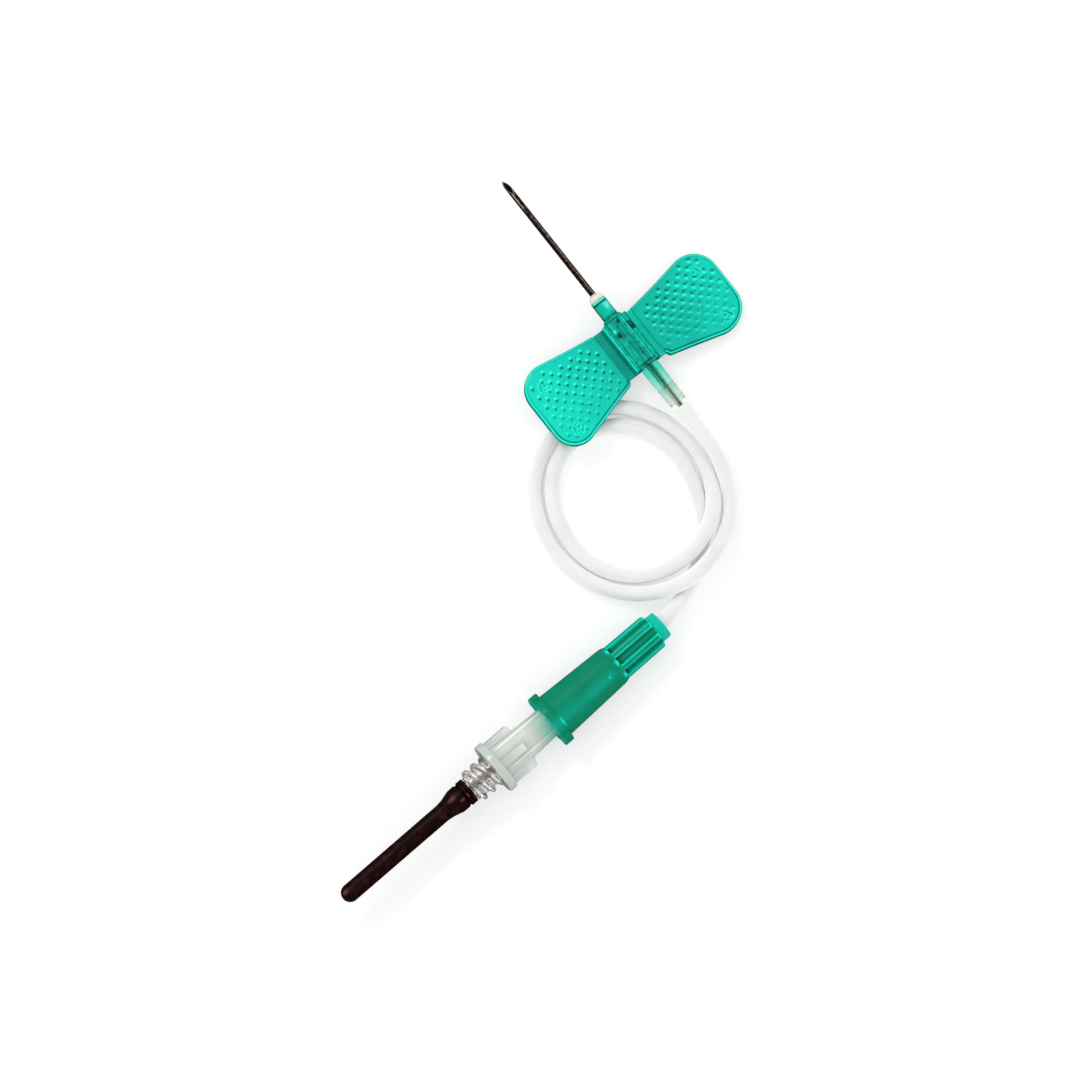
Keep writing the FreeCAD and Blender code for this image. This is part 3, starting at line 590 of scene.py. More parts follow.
@dataclass
class WingedNeedle:
    """Needle, hub and folding wings. X runs from the needle's tip to the hub's tail."""

    needle_radius: float = 0.41
    needle_bore_radius: float = 0.255
    needle_tip: float = -0.3
    needle_end: float = 37.6
    bevel_degrees: float = 17.8
    lancet_degrees: float = 24.3
    lancet_turn: float = 35.0
    bead_front: float = 19.0
    hub_front: float = 20.0
    nose_radius: float = 1.09
    rim_end: float = 20.42
    groove_end: float = 20.54
    groove_depth: float = 0.09
    nose_end: float = 22.8
    collar_radius: float = 1.38
    collar_step: float = 0.13
    barrel_front: float = 23.3
    barrel_end: float = 30.83
    stem_radius: float = 1.17
    tail_root_radius: float = 1.3
    tail_end_radius: float = 1.15
    hub_end: float = 36.98
    socket_floor: float = 34.38
    tube_hole_radius: float = 0.97
    cannula_hole_radius: float = 0.43
    underside: float = -1.475
    web_top: float = -0.975
    pad_top: float = -0.475
    barrel_half: float = 1.9
    flank_top: float = 0.725
    shoulder_half: float = 1.5
    shoulder_top: float = 1.189
    crown_half: float = 1.1
    crown_radius: float = 1.62
    fold_across: float = 3.1
    left_pad_outward: float = 0.2
    right_pad_inward: float = 0.25
    reach: float = 15.55
    root_end: float = 8.05
    front_lean: float = 2.16
    rear_corner: float = 11.7
    front_hollow: float = 0.13
    rear_hollow: float = 0.1
    front_corner_radius: float = 3.6
    rear_corner_radius: float = 3.2
    right_rear_corner_radius: float = 3.9
    root_corner_radius: float = 0.7
    edge_round: float = 0.2
    rim_width: float = 0.4
    rim_drop: float = 0.08
    dot_radius: float = 0.32
    dot_height: float = 0.13
    dot_pitch_along: float = 1.54
    dot_pitch_across: float = 1.615
    dot_start_along: float = 0.6
    dot_start_across: float = 4.365
    right_dots_inward: float = 0.35
    dot_margin: float = 0.95
    mark_margin: float = 0.62
    # Painted highlight and shade lines where the sleeve's section bends: place across, width and tone.
    section_lines: tuple[tuple[float, float, float], ...] = (
        (-1.9, 0.06, 1.0), (-1.6, 0.16, -0.1), (-1.38, 0.08, -0.8), (-1.05, 0.1, 0.15), (-0.4, 0.12, -0.35),
        (0.2, 0.12, -0.4), (0.85, 0.06, 1.0), (1.02, 0.05, -0.7), (1.68, 0.09, -1.0), (1.87, 0.05, 0.8),
    )
    # Marks at the hub's keys, dark where the keys show through the sleeve and light as painted glints: along,
    # across, half length, half width and tone.
    key_marks: tuple[tuple[float, float, float, float, float], ...] = (
        (25.2, 1.34, 0.65, 0.3, -1.2), (25.2, 1.34, 0.3, 0.1, 0.5), (25.55, -0.9, 0.35, 0.25, -0.9),
        (24.7, -1.02, 0.25, 0.16, 0.9), (23.9, 0.15, 0.2, 0.25, -0.5),
    )
    bench: Bench = field(init=False)

    def __post_init__(self) -> None:
        """Finds the bench from the two fold lines, which lie at the webs' tops."""
        left, right = (named(frame["joints"], f"wing_{side.word}_fold") for side in Side)
        along = Vector(right["axis"]).normalized()
        across = (Vector(right["pos_m"]) - Vector(left["pos_m"])).normalized()
        up = along.cross(across)
        middle = (Vector(left["pos_m"]) + Vector(right["pos_m"])) / 2
        fold_station = (self.barrel_front + self.barrel_end) / 2
        origin = middle - (along * fold_station + up * self.web_top) * MM
        self.bench = Bench(origin, along, across, up)

    def ground_tip(self, across: np.ndarray, up: np.ndarray) -> np.ndarray:
        """Where the ground tip starts: at the long bevel or at one of the two side facets.

        Args:
            across: places across the needle.
            up: heights over its axis.

        Returns:
            How far along the needle the steel starts at each of them.
        """
        turn = math.radians(self.lancet_turn)
        bevel = (up + self.needle_radius) / math.tan(math.radians(self.bevel_degrees))
        lean = (up + self.needle_radius) * math.cos(turn)
        sideways = np.abs(across) * math.sin(turn)
        facet = (lean + sideways) / math.tan(math.radians(self.lancet_degrees))
        return self.needle_tip + np.maximum(bevel, facet)

    def cannula(self) -> bpy.types.Object:
        """Makes the steel tube with its ground lancet tip.

        Returns:
            The piece, dressed and settled.
        """
        around = 72
        angles = np.linspace(0.0, 2 * math.pi, around, endpoint=False)
        across, up = np.cos(angles), np.sin(angles)

        def ring(along: np.ndarray, radius: float) -> np.ndarray:
            """One ring of points round the needle's axis."""
            return np.stack((along, radius * across, radius * up), axis=-1)

        wall = np.linspace(self.needle_bore_radius, self.needle_radius, 5)
        bore_front = self.ground_tip(wall[0] * across, wall[0] * up)
        rings = [ring(bore_front + (self.needle_end - bore_front), wall[0]), ring(bore_front, wall[0])]
        rings += [ring(self.ground_tip(radius * across, radius * up), radius) for radius in wall[1:]]
        tip = rings[-1][:, 0]
        for share in (0.03, 0.08, 0.13, 0.18, 0.25, 0.35, 0.5, 0.8, 1.0):
            rings.append(ring(tip + share * (self.bead_front - tip), self.needle_radius))
        glued, bare = self.hub_front + 0.5, self.hub_end + 0.1
        for station in (glued - 0.1, glued + 0.1, bare - 0.1, bare + 0.1, self.needle_end):
            rings.append(ring(np.full_like(tip, station), self.needle_radius))
        rings.append(rings[0])
        skin = np.concatenate(rings), grid_faces(len(rings), around, closed=True)
        piece = make_piece("cannula", self.bench, [skin], self.cannula_tone, 24.0)
        dress(piece, DRAWN_STEEL, self.bench)
        glued_from = self.bench.at(glued)
        dress_part(
            piece,
            GLUED_STEEL,
            self.bench,
            lambda middle: (middle - glued_from).dot(self.bench.along) > 0,
        )
        return settle(piece, "needle_set", ["needle_cannula"])

    def cannula_tone(self, points: np.ndarray) -> np.ndarray:
        """Painted reflections and shade: lighter facets at the tip, black flanks, a light line and a glint on top,
        a black bore, and a dark core in the hub.

        Args:
            points: the piece's points on the bench, in millimetres.

        Returns:
            The tone of each point.
        """
        along, across, up = points.T
        radius = np.hypot(across, up)
        ground = (along < 2.4) & (radius < self.needle_radius - 0.01) & (radius > self.needle_bore_radius)
        # Painted reflections: a light line along the top, a glint behind the tip, and black flanks.
        line = 0.4 * ridge(0.09, 0.06, across) * smooth_step(4.5, 7.0, along)
        behind_tip = smooth_step(1.8, 2.2, along) * smooth_step(5.0, 3.6, along)
        glint = 1.1 * ridge(-0.19, 0.07, across) * behind_tip
        flank = -1.0 * smooth_step(0.22, 0.36, np.abs(across))
        tone = flank + (line + glint) * (up > 0)
        # Painted shade inside the bore.
        tone = np.where(radius < self.needle_bore_radius + 0.01, -1.0, tone)
        # Painted shade: a dark core between light sides, in the hub and behind it.
        core = 0.9 - 2.2 * ridge(0.0, 0.15, across)
        tone = np.where(along > self.hub_front, core, tone)
        tone = np.where(along > self.hub_end + 0.1, 0.7 - 1.6 * ridge(0.0, 0.2, across), tone)
        # The ground facets are painted a little lighter, as painted reflection.
        return np.where(ground, 0.2, tone)

    def bead(self) -> bpy.types.Object:
        """Makes the drop of adhesive between the cannula and the hub's rim.

        Returns:
            The piece, dressed and settled.
        """
        corners = [
            (self.bead_front, self.needle_radius - 0.02),
            (self.bead_front + 0.02, self.needle_radius + 0.06, 0.05),
            (self.bead_front + 0.36, 0.94, 1.4),
            (self.hub_front, 1.07, 0.05),
            (self.hub_front + 0.02, self.needle_radius - 0.02),
            (self.bead_front, self.needle_radius - 0.02),
        ]
        piece = make_piece("adhesive_bead", self.bench, [lathe(soften(corners, 8))], self.bead_tone)
        dress(piece, BEAD_EPOXY, self.bench)
        return settle(piece, "needle_set", ["needle_bond"])

    def bead_tone(self, points: np.ndarray) -> np.ndarray:
        """Painted highlight on the lamp's side, and painted shade at the bead's front, where it meets the needle.
        """
        # Painted highlight towards the lamp's side, painted shade at the front.
        light = smooth_step(0.1, 0.9, points[:, 1]) * 0.5
        return light - 0.35 * ridge(self.bead_front + 0.1, 0.15, points[:, 0])

    def hub(self) -> bpy.types.Object:
        """Makes the clear green tube: rim, nose, snap collar, stem, and the tail that takes the tubing.

        Returns:
            The piece, dressed and settled.
        """
        step = self.collar_step
        corners = [
            (self.hub_front, self.cannula_hole_radius),
            (self.hub_front, self.nose_radius, 0.05),
            (self.rim_end, self.nose_radius, 0.03),
            (self.rim_end + 0.01, self.nose_radius - self.groove_depth),
            (self.groove_end - 0.01, self.nose_radius - self.groove_depth),
            (self.groove_end, self.nose_radius, 0.03),
            (self.nose_end, self.nose_radius, 0.04),
            (self.nose_end + 0.01, self.collar_radius - step, 0.05),
            (self.nose_end + step, self.collar_radius - step, 0.03),
            (self.nose_end + step + 0.02, self.collar_radius, 0.05),
            (self.barrel_front - 0.06, self.collar_radius, 0.04),
            (self.barrel_front - 0.02, self.stem_radius),
            (self.barrel_end, self.stem_radius),
            (self.barrel_end + 0.02, self.tail_root_radius, 0.05),
            (self.hub_end, self.tail_end_radius, 0.06),
            (self.hub_end, self.tube_hole_radius, 0.02),
            (self.socket_floor, self.tube_hole_radius, 0.05),
            (self.socket_floor, self.cannula_hole_radius),
            (self.hub_front, self.cannula_hole_radius),
        ]
        line = split_long(soften(corners, 4), 0.25)
        piece = make_piece("hub", self.bench, [lathe(line)], self.hub_tone)
        dress(piece, HUB_ABS, self.bench)
        sleeve_front = self.bench.at(self.barrel_front)
        dress_part(
            piece,
            NOSE_ABS,
            self.bench,
            lambda middle: (middle - sleeve_front).dot(self.bench.along) < 0,
        )
        return settle(piece, "needle_set", ["needle_hub"])

    def hub_tone(self, points: np.ndarray) -> np.ndarray:
        """Painted highlight and shade lines at the rim and the collar, a painted highlight on the nose, painted
        shade along its edges, a painted highlight at the tail's end, and a tail that pales to its end.

        Args:
            points: the piece's points on the bench, in millimetres.

        Returns:
            The tone of each point.
        """
        along, across, up = points.T
        # Painted highlight and shade lines at the rim, its groove and the collar.
        tone = 0.75 * ridge((self.hub_front + self.rim_end) / 2, 0.1, along)
        tone -= 1.4 * ridge((self.rim_end + self.groove_end) / 2, 0.08, along)
        tone += 0.5 * ridge(self.groove_end + 0.12, 0.08, along)
        tone -= 1.2 * ridge(self.nose_end - 0.08, 0.06, along)
        tone -= 0.5 * ridge(self.nose_end - 0.35, 0.1, along)
        tone -= 1.0 * ridge(self.nose_end + 0.13, 0.05, along)
        # Painted highlight on the nose's upper side.
        nose_highlight = 0.64 * ridge(21.2, 0.6, along) * ridge(0.35, 0.35, across) * (up > 0)
        # Painted shade along the nose's edges.
        edges = -0.6 * smooth_step(0.9, 1.05, np.abs(across)) * (along < self.nose_end)
        tail = smooth_step(self.barrel_end - 0.5, self.hub_end + 0.8, along)
        in_socket = (along > self.socket_floor - 0.01) & (np.hypot(across, up) < self.tail_end_radius - 0.1)
        # Painted highlight round the tail's end.
        rim = 0.8 * ridge(self.hub_end, 0.12, along)
        return tone + nose_highlight + edges + 0.9 * tail - 0.1 + 0.35 * in_socket + rim

    def barrel(self) -> bpy.types.Object:
        """Makes the sleeve round the hub: flat below, crowned above, round at its edges.

        Returns:
            The piece, dressed and settled.
        """
        corners = [
            (0.0, self.underside),
            (self.barrel_half, self.underside, 0.05),
            (self.barrel_half, self.flank_top, 0.12),
            (self.shoulder_half, self.shoulder_top, 0.1),
            (self.crown_half, self.shoulder_top - 0.05, 0.05),
        ]
        crown_start = math.acos(self.crown_half / self.crown_radius)
        for share in np.linspace(0.0, 1.0, 13):
            angle = crown_start + share * (math.pi - 2 * crown_start)
            spot = (self.crown_radius * math.cos(angle), self.crown_radius * math.sin(angle))
            corners.append(spot)
        corners += [(-corner[0], *corner[1:]) for corner in reversed(corners[1:5])]
        corners.append((0.0, self.underside))
        section = split_long(soften(corners, 5)[:-1], 0.12)
        inset = [(0.0, 0.1), (0.015, 0.05), (0.05, 0.015), (0.1, 0.0)]
        length = self.barrel_end - self.barrel_front
        middle = [(spot, 0.0) for spot in np.linspace(0.2, length - 0.2, 90)]
        stations = inset + middle + [(length - along, shrink) for along, shrink in reversed(inset)]
        size = np.abs(section).max(axis=0)
        rings = []
        for along, shrink in stations:
            ring = section * (1 - shrink / size)
            rings.append(np.column_stack((np.full(len(ring), self.barrel_front + along), ring)))
        faces = grid_faces(len(rings), len(section), closed=True)
        count = len(section)
        faces.append(tuple(range(count)))
        faces.append(tuple(range((len(rings) - 1) * count, len(rings) * count)))
        skin = np.concatenate(rings), faces
        piece = make_piece("wing_sleeve", self.bench, [skin], self.barrel_tone, 40.0)
        dress(piece, SLEEVE_VINYL, self.bench)
        return settle(piece, "needle_set", ["wing_barrel"])

    def barrel_tone(self, points: np.ndarray) -> np.ndarray:
        """Darker over the hub and its keys, partly as painted shade, with painted glints, painted highlight and
        shade lines where the section bends, and painted shade at the ends.

        Args:
            points: the piece's points on the bench, in millimetres.

        Returns:
            The tone of each point.
        """
        along, across, up = points.T
        above = smooth_step(0.0, 0.4, up)
        # Darker over the hub: partly the hub that lies in it, partly painted shade.
        tone = -0.25 * smooth_step(1.2, 0.9, np.abs(across))
        # Painted highlight and shade lines where the section bends.
        for middle, width, strength in self.section_lines:
            tone = tone + strength * ridge(middle, width, across)
        # Dark where the hub's keys show through; the light marks are painted glints.
        for key_along, key_across, length, width, strength in self.key_marks:
            within = smooth_step(length + 0.08, length - 0.08, np.abs(along - key_along))
            beside = smooth_step(width + 0.08, width - 0.08, np.abs(across - key_across))
            tone = tone + strength * within * beside
        # Painted shade across the crown near the rear end, and along both ends.
        crown = smooth_step(1.3, 1.1, np.abs(across))
        tone = tone - 0.9 * ridge(self.barrel_end - 0.4, 0.1, along) * crown
        tone = tone - 0.9 * ridge(self.barrel_end, 0.08, along) - 0.7 * ridge(self.barrel_front, 0.08, along)
        return tone * above - 0.3 * (1 - above)

    def pad_start(self, side: Side) -> float:
        """Where a wing's thick part starts.

        Args:
            side: which of the two wings.

        Returns:
            Its distance from the needle's axis.
        """
        if side is Side.LEFT:
            return self.fold_across + self.left_pad_outward
        return self.fold_across - self.right_pad_inward

    def edge_lines(self, side: Side) -> tuple[np.ndarray, np.ndarray]:
        """A wing's outlines from its root to the middle of its outer edge.

        Args:
            side: which of the two wings.

        Returns:
            The points of the front outline and those of the rear one, as (along, across).
        """
        is_left = side is Side.LEFT
        rear_radius = self.rear_corner_radius if is_left else self.right_rear_corner_radius
        front, rear = self.barrel_front, self.barrel_front + self.root_end
        front_tip, rear_tip = front - self.front_lean, front + self.rear_corner
        tip_middle = (front_tip + rear_tip) / 2
        inside = self.barrel_half - 0.1
        front_line = soften([
            (front, inside),
            (front, self.fold_across, 6.0),
            (front_tip, self.reach, self.front_corner_radius),
            (tip_middle, self.reach),
        ], 16)
        rear_line = soften([
            (self.barrel_end, inside),
            (self.barrel_end, self.fold_across),
            (rear, self.fold_across, self.root_corner_radius),
            (rear_tip, self.reach, rear_radius),
            (tip_middle, self.reach),
        ], 16)
        front_line, rear_line = split_long(front_line, 0.5), split_long(rear_line, 0.5)
        for line, hollow in ((front_line, self.front_hollow), (rear_line, -self.rear_hollow)):
            share = np.clip((line[:, 1] - self.fold_across) / (self.reach - self.fold_across), 0.0, 1.0)
            line[:, 0] += 4 * hollow * share * (1 - share)
        return front_line, rear_line

    def dot_middles(self, outline: np.ndarray, side: Side) -> np.ndarray:
        """Middles of the raised dots: two square grids, one set between the rows of the other.

        Args:
            outline: the wing's outline, as (along, across).
            side: which of the two wings.

        Returns:
            The dots' middles, one to a row, clear of the edge and of the ejector marks.
        """
        spots = []
        first_along = self.barrel_front + self.dot_start_along
        first_across = self.dot_start_across
        if side is Side.RIGHT:
            first_across -= self.right_dots_inward
        for shift in (0.0, 0.5):
            for row in range(9):
                for column in range(-3, 9):
                    along = first_along + self.dot_pitch_along * (column + shift)
                    across = first_across + self.dot_pitch_across * (row + shift)
                    spots.append((along, across))
        spots = np.array(spots)
        clear = distance_to_line(spots, outline)
        bounds = (spots[:, 1] < self.reach) & (spots[:, 0] > outline[:, 0].min())
        inside = bounds & (clear > self.dot_margin) & inside_outline(spots, outline)
        for along, across in self.ejector_marks():
            inside &= np.hypot(spots[:, 0] - along, spots[:, 1] - across) > self.mark_margin
        return spots[inside]

    def ejector_marks(self) -> list[tuple[float, float]]:
        """Middles of the two round marks that the mould's ejector pins left."""
        return [(self.barrel_front + 1.5, 12.7), (self.barrel_front + 8.5, 12.5)]

    def wing(self, side: Side) -> bpy.types.Object:
        """Makes one wing with its web, drawn flat, though the web bends where it leaves the sleeve.

        Args:
            side: which of the two wings.

        Returns:
            The wing, in the frame's place.
        """
        front_line, rear_line = self.edge_lines(side)
        inside = self.barrel_half - 0.1
        corner = self.reach - self.front_corner_radius
        turn = np.linspace(0.0, math.pi / 2, 56)
        step = self.pad_start(side)
        rows = np.concatenate((
            np.linspace(inside, step - 0.15, 12),
            np.linspace(step - 0.1, step + 0.4, 13),
            np.linspace(step + 0.46, corner - 0.06, 118),
            corner + self.front_corner_radius * np.sin(turn),
        ))
        near = np.array([0.0, 0.02, 0.05, 0.1, 0.16, 0.24, 0.34, 0.44])
        shares = np.linspace(0.0, 1.0, 138)[1:-1]
        front = np.interp(rows, front_line[:, 1], front_line[:, 0])
        rear = np.interp(rows, rear_line[:, 1], rear_line[:, 0])
        front[-1] = front_line[-2, 0]
        rear[-1] = rear_line[-2, 0]
        start, end = front + near[-1], rear - near[-1]
        columns = [front[:, None] + near, start[:, None] + (end - start)[:, None] * shares]
        columns.append(rear[:, None] - near[::-1])
        along = np.concatenate(columns, axis=1)
        across = np.broadcast_to(rows[:, None], along.shape)
        plan = np.stack((along.ravel(), across.ravel()), axis=-1)
        outline = np.concatenate((front_line[:-1], rear_line[-2::-1]))
        relief = WingRelief(self, outline, side)
        height, tone = relief.measure(plan)
        top = np.column_stack((plan, height))
        low = np.column_stack((plan, np.full(len(plan), self.underside)))
        sign = float(side.value)
        points = np.concatenate((top, low)) * np.array([1.0, sign, 1.0])
        count, width = along.shape
        upper = grid_faces(count, width)
        faces = upper + [tuple(index + len(top) for index in reversed(quad)) for quad in upper]
        faces += wall_faces(count, width)
        web = self.web_tone(side, plan)
        tones = np.concatenate((tone + web, np.full(len(low), -0.2)))
        name = f"wing_{side.word}_moulding"
        piece = make_piece(name, self.bench, [(points, faces)], lambda _: tones, 50.0)
        dress(piece, WING_VINYL, self.bench)
        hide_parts(f"wing_{side.word}")
        still = self.bench.at(self.barrel_front, sign * (self.barrel_half + 0.15), self.web_top)
        moved = self.bench.at(self.barrel_front, sign * (self.fold_across + 0.35), self.web_top)
        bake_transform(piece)
        return piece

    def web_tone(self, side: Side, plan: np.ndarray) -> np.ndarray:
        """The web's painted light and shade: the sleeve's painted shadow on the left web, lighter on the right, a
        painted highlight along the step up to the wing and painted shade in the crease at the sleeve.

        Args:
            side: which of the two wings.
            plan: points as (along, across), in millimetres.

        Returns:
            What the web adds to each point's tone.
        """
        # Painted shadow of the sleeve on the left web, painted light on the right web, fading onto the wing.
        depth = -0.5 if side is Side.LEFT else 0.1
        step = self.pad_start(side)
        web = smooth_step(step + 0.02, step - 0.08, plan[:, 1])
        fade = smooth_step(step + 2.6, step + 0.1, plan[:, 1])
        # Painted highlight along the step up to the wing, painted shade in the crease by the sleeve.
        line = ridge(step + 0.08, 0.06, plan[:, 1])
        crease_shade = ridge(self.barrel_half + 0.12, 0.07, plan[:, 1])
        return depth * web + 0.3 * depth * fade * (1 - web) + 0.6 * line - 0.7 * crease_shade

    def build(self) -> list[bpy.types.Object]:
        """Makes every piece of the winged needle."""
        pieces = [self.cannula(), self.bead(), self.hub(), self.barrel()]
        return pieces + [self.wing(side) for side in Side]


def distance_to_line(spots: np.ndarray, line: np.ndarray) -> np.ndarray:
    """How far spots lie from a line.

    Args:
        spots: the spots, one to a row.
        line: the line's points, one to a row.

    Returns:
        Each spot's distance to the nearest place on the line.
    """
    nearest = np.full(len(spots), np.inf)
    for start, end in zip(line, line[1:]):
        step = end - start
        length = float(step @ step)
        if length == 0.0:
            continue
        share = np.clip((spots - start) @ step / length, 0.0, 1.0)
        gap = spots - start - share[:, None] * step
        nearest = np.minimum(nearest, np.hypot(gap[:, 0], gap[:, 1]))
    return nearest


def inside_outline(spots: np.ndarray, outline: np.ndarray) -> np.ndarray:
    """Which spots lie inside an outline.

    Args:
        spots: the spots, one to a row.
        outline: the outline's points, whose ends are joined.

    Returns:
        Whether each spot lies inside.
    """
    inside = np.zeros(len(spots), bool)
    for start, end in zip(outline, np.roll(outline, -1, axis=0)):
        level = (start[1] > spots[:, 1]) != (end[1] > spots[:, 1])
        rise = end[1] - start[1]
        if rise == 0.0:
            continue
        crossing = start[0] + (spots[:, 1] - start[1]) * (end[0] - start[0]) / rise
        inside ^= level & (spots[:, 0] < crossing)
    return inside


def wall_faces(rows: int, columns: int) -> list[tuple[int, ...]]:
    """Quads that join the rims of two equal grids.

    Args:
        rows: how many rows each grid has.
        columns: how many points each row has.

    Returns:
        The point numbers of each quad, where the second grid's follow the first's.
    """
    rim = list(range(columns))
    rim += [row * columns + columns - 1 for row in range(1, rows)]
    rim += [(rows - 1) * columns + column for column in range(columns - 2, -1, -1)]
    rim += [row * columns for row in range(rows - 2, 0, -1)]
    below = rows * columns
    pairs = zip(rim, rim[1:] + rim[:1])
    return [(here + below, there + below, there, here) for here, there in pairs]


@dataclass
class WingRelief:
    """The upper face of a wing: step at the web, rounded rim, raised dots and mould marks."""

    needle: WingedNeedle
    outline: np.ndarray
    side: Side
    ejector_radius: float = 0.9
    # Raised loops in each ejector mark, painted as glints with painted shadow beside them: place along and across,
    # and radius.
    scuffs: tuple[tuple[float, float, float], ...] = (
        (0.25, 0.1, 0.32), (-0.2, -0.2, 0.4), (0.1, -0.4, 0.2),
    )
    faint_ring_radius: float = 2.85
    faint_ring_place: tuple[float, float] = (4.4, 8.0)

    def measure(self, plan: np.ndarray) -> tuple[np.ndarray, np.ndarray]:
        """Height and tone of the upper face.

        Args:
            plan: points as (along, across), in millimetres.

        Returns:
            The height of each point and its tone.
        """
        needle = self.needle
        edge = distance_to_line(plan, self.outline)
        step = needle.pad_start(self.side)
        on_pad = smooth_step(step, step + 0.16, plan[:, 1])
        height = needle.web_top + (needle.pad_top - needle.web_top) * on_pad
        inward = np.clip(1 - edge / needle.edge_round, 0.0, 1.0)
        height -= needle.edge_round * 0.9 * (1 - np.sqrt(1 - inward**2))
        rim = on_pad * smooth_step(needle.rim_width + 0.05, needle.rim_width - 0.05, edge)
        height -= needle.rim_drop * rim
        tone = self.edge_tone(plan, edge) * on_pad
        painted_spots = self.dot_shades()
        # Each dot gets a painted highlight and a painted shadow beside it, stronger towards the front.
        for middle in needle.dot_middles(self.outline, self.side):
            gap = np.hypot(*(plan - middle).T)
            dome = np.clip(1 - (gap / needle.dot_radius) ** 2, 0.0, 1.0)
            height += needle.dot_height * dome**1.5
            weight = 0.45 + 0.55 * float(smooth_step(30.0, 25.5, middle[0]))
            for along, across, width, strength in painted_spots:
                gap = np.hypot(plan[:, 0] - middle[0] - along, plan[:, 1] - middle[1] - across)
                tone += weight * strength * ridge(0.0, width, gap)
        for along, across in needle.ejector_marks():
            gap = np.hypot(plan[:, 0] - along, plan[:, 1] - across)
            height -= 0.05 * smooth_step(self.ejector_radius, self.ejector_radius - 0.12, gap)
            glint_loop = np.zeros_like(gap)
            for aside, ahead, radius in self.scuffs:
                loop = np.hypot(plan[:, 0] - along - aside, plan[:, 1] - across - ahead)
                glint_loop += ridge(radius, 0.06, loop) - 0.6 * ridge(radius + 0.14, 0.06, loop)
            height += 0.09 * ridge(self.ejector_radius, 0.1, gap) + 0.04 * glint_loop
            # Painted highlight on the mark's raised rim, painted glints on its loops and painted shadow beside
            # them.
            tone += 0.9 * ridge(self.ejector_radius - 0.05, 0.07, gap) + 0.9 * glint_loop
        along, across = self.faint_ring_place
        gap = np.hypot(plan[:, 0] - needle.barrel_front - along, plan[:, 1] - across)
        height -= 0.03 * ridge(self.faint_ring_radius, 0.09, gap)
        # Painted shade in the faint ring's groove.
        tone -= 0.25 * ridge(self.faint_ring_radius, 0.09, gap)
        return height, tone

    def edge_tone(self, plan: np.ndarray, edge: np.ndarray) -> np.ndarray:
        """Tone of the plain face: a painted highlight line and a painted shade line along its edge, painted shade
        on the very edge, and lighter outwards.

        Args:
            plan: points as (along, across), in millimetres.
            edge: each point's distance from the wing's outline.

        Returns:
            The tone of each point.
        """
        along, across = plan.T
        rim = self.needle.rim_width
        behind = smooth_step(26.0, 31.0, along)
        # Painted shade and highlight lines along the rim, and painted shade on the very edge.
        lines = -(0.35 + 0.9 * behind) * ridge(rim, 0.09, edge)
        lines += (0.5 + 0.5 * behind) * ridge(rim - 0.2, 0.08, edge) - 1.1 * ridge(0.0, 0.08, edge)
        outward = smooth_step(self.needle.fold_across, self.needle.reach, across)
        start, gain = (-0.1, 0.3) if self.side is Side.LEFT else (-0.28, 0.3)
        return lines + start + gain * outward

    def dot_shades(self) -> tuple[tuple[float, float, float, float], ...]:
        """Painted highlight and painted shadow spots that each dot shows.

        Returns:
            Shift along and across, width and tone of each spot.
        """
        if self.side is Side.LEFT:
            return ((-0.15, 0.0, 0.19, 1.3), (0.2, 0.05, 0.16, -1.8))
        return ((0.02, 0.0, 0.23, 1.5), (-0.34, 0.14, 0.22, -1.1), (0.32, -0.14, 0.2, -0.6))


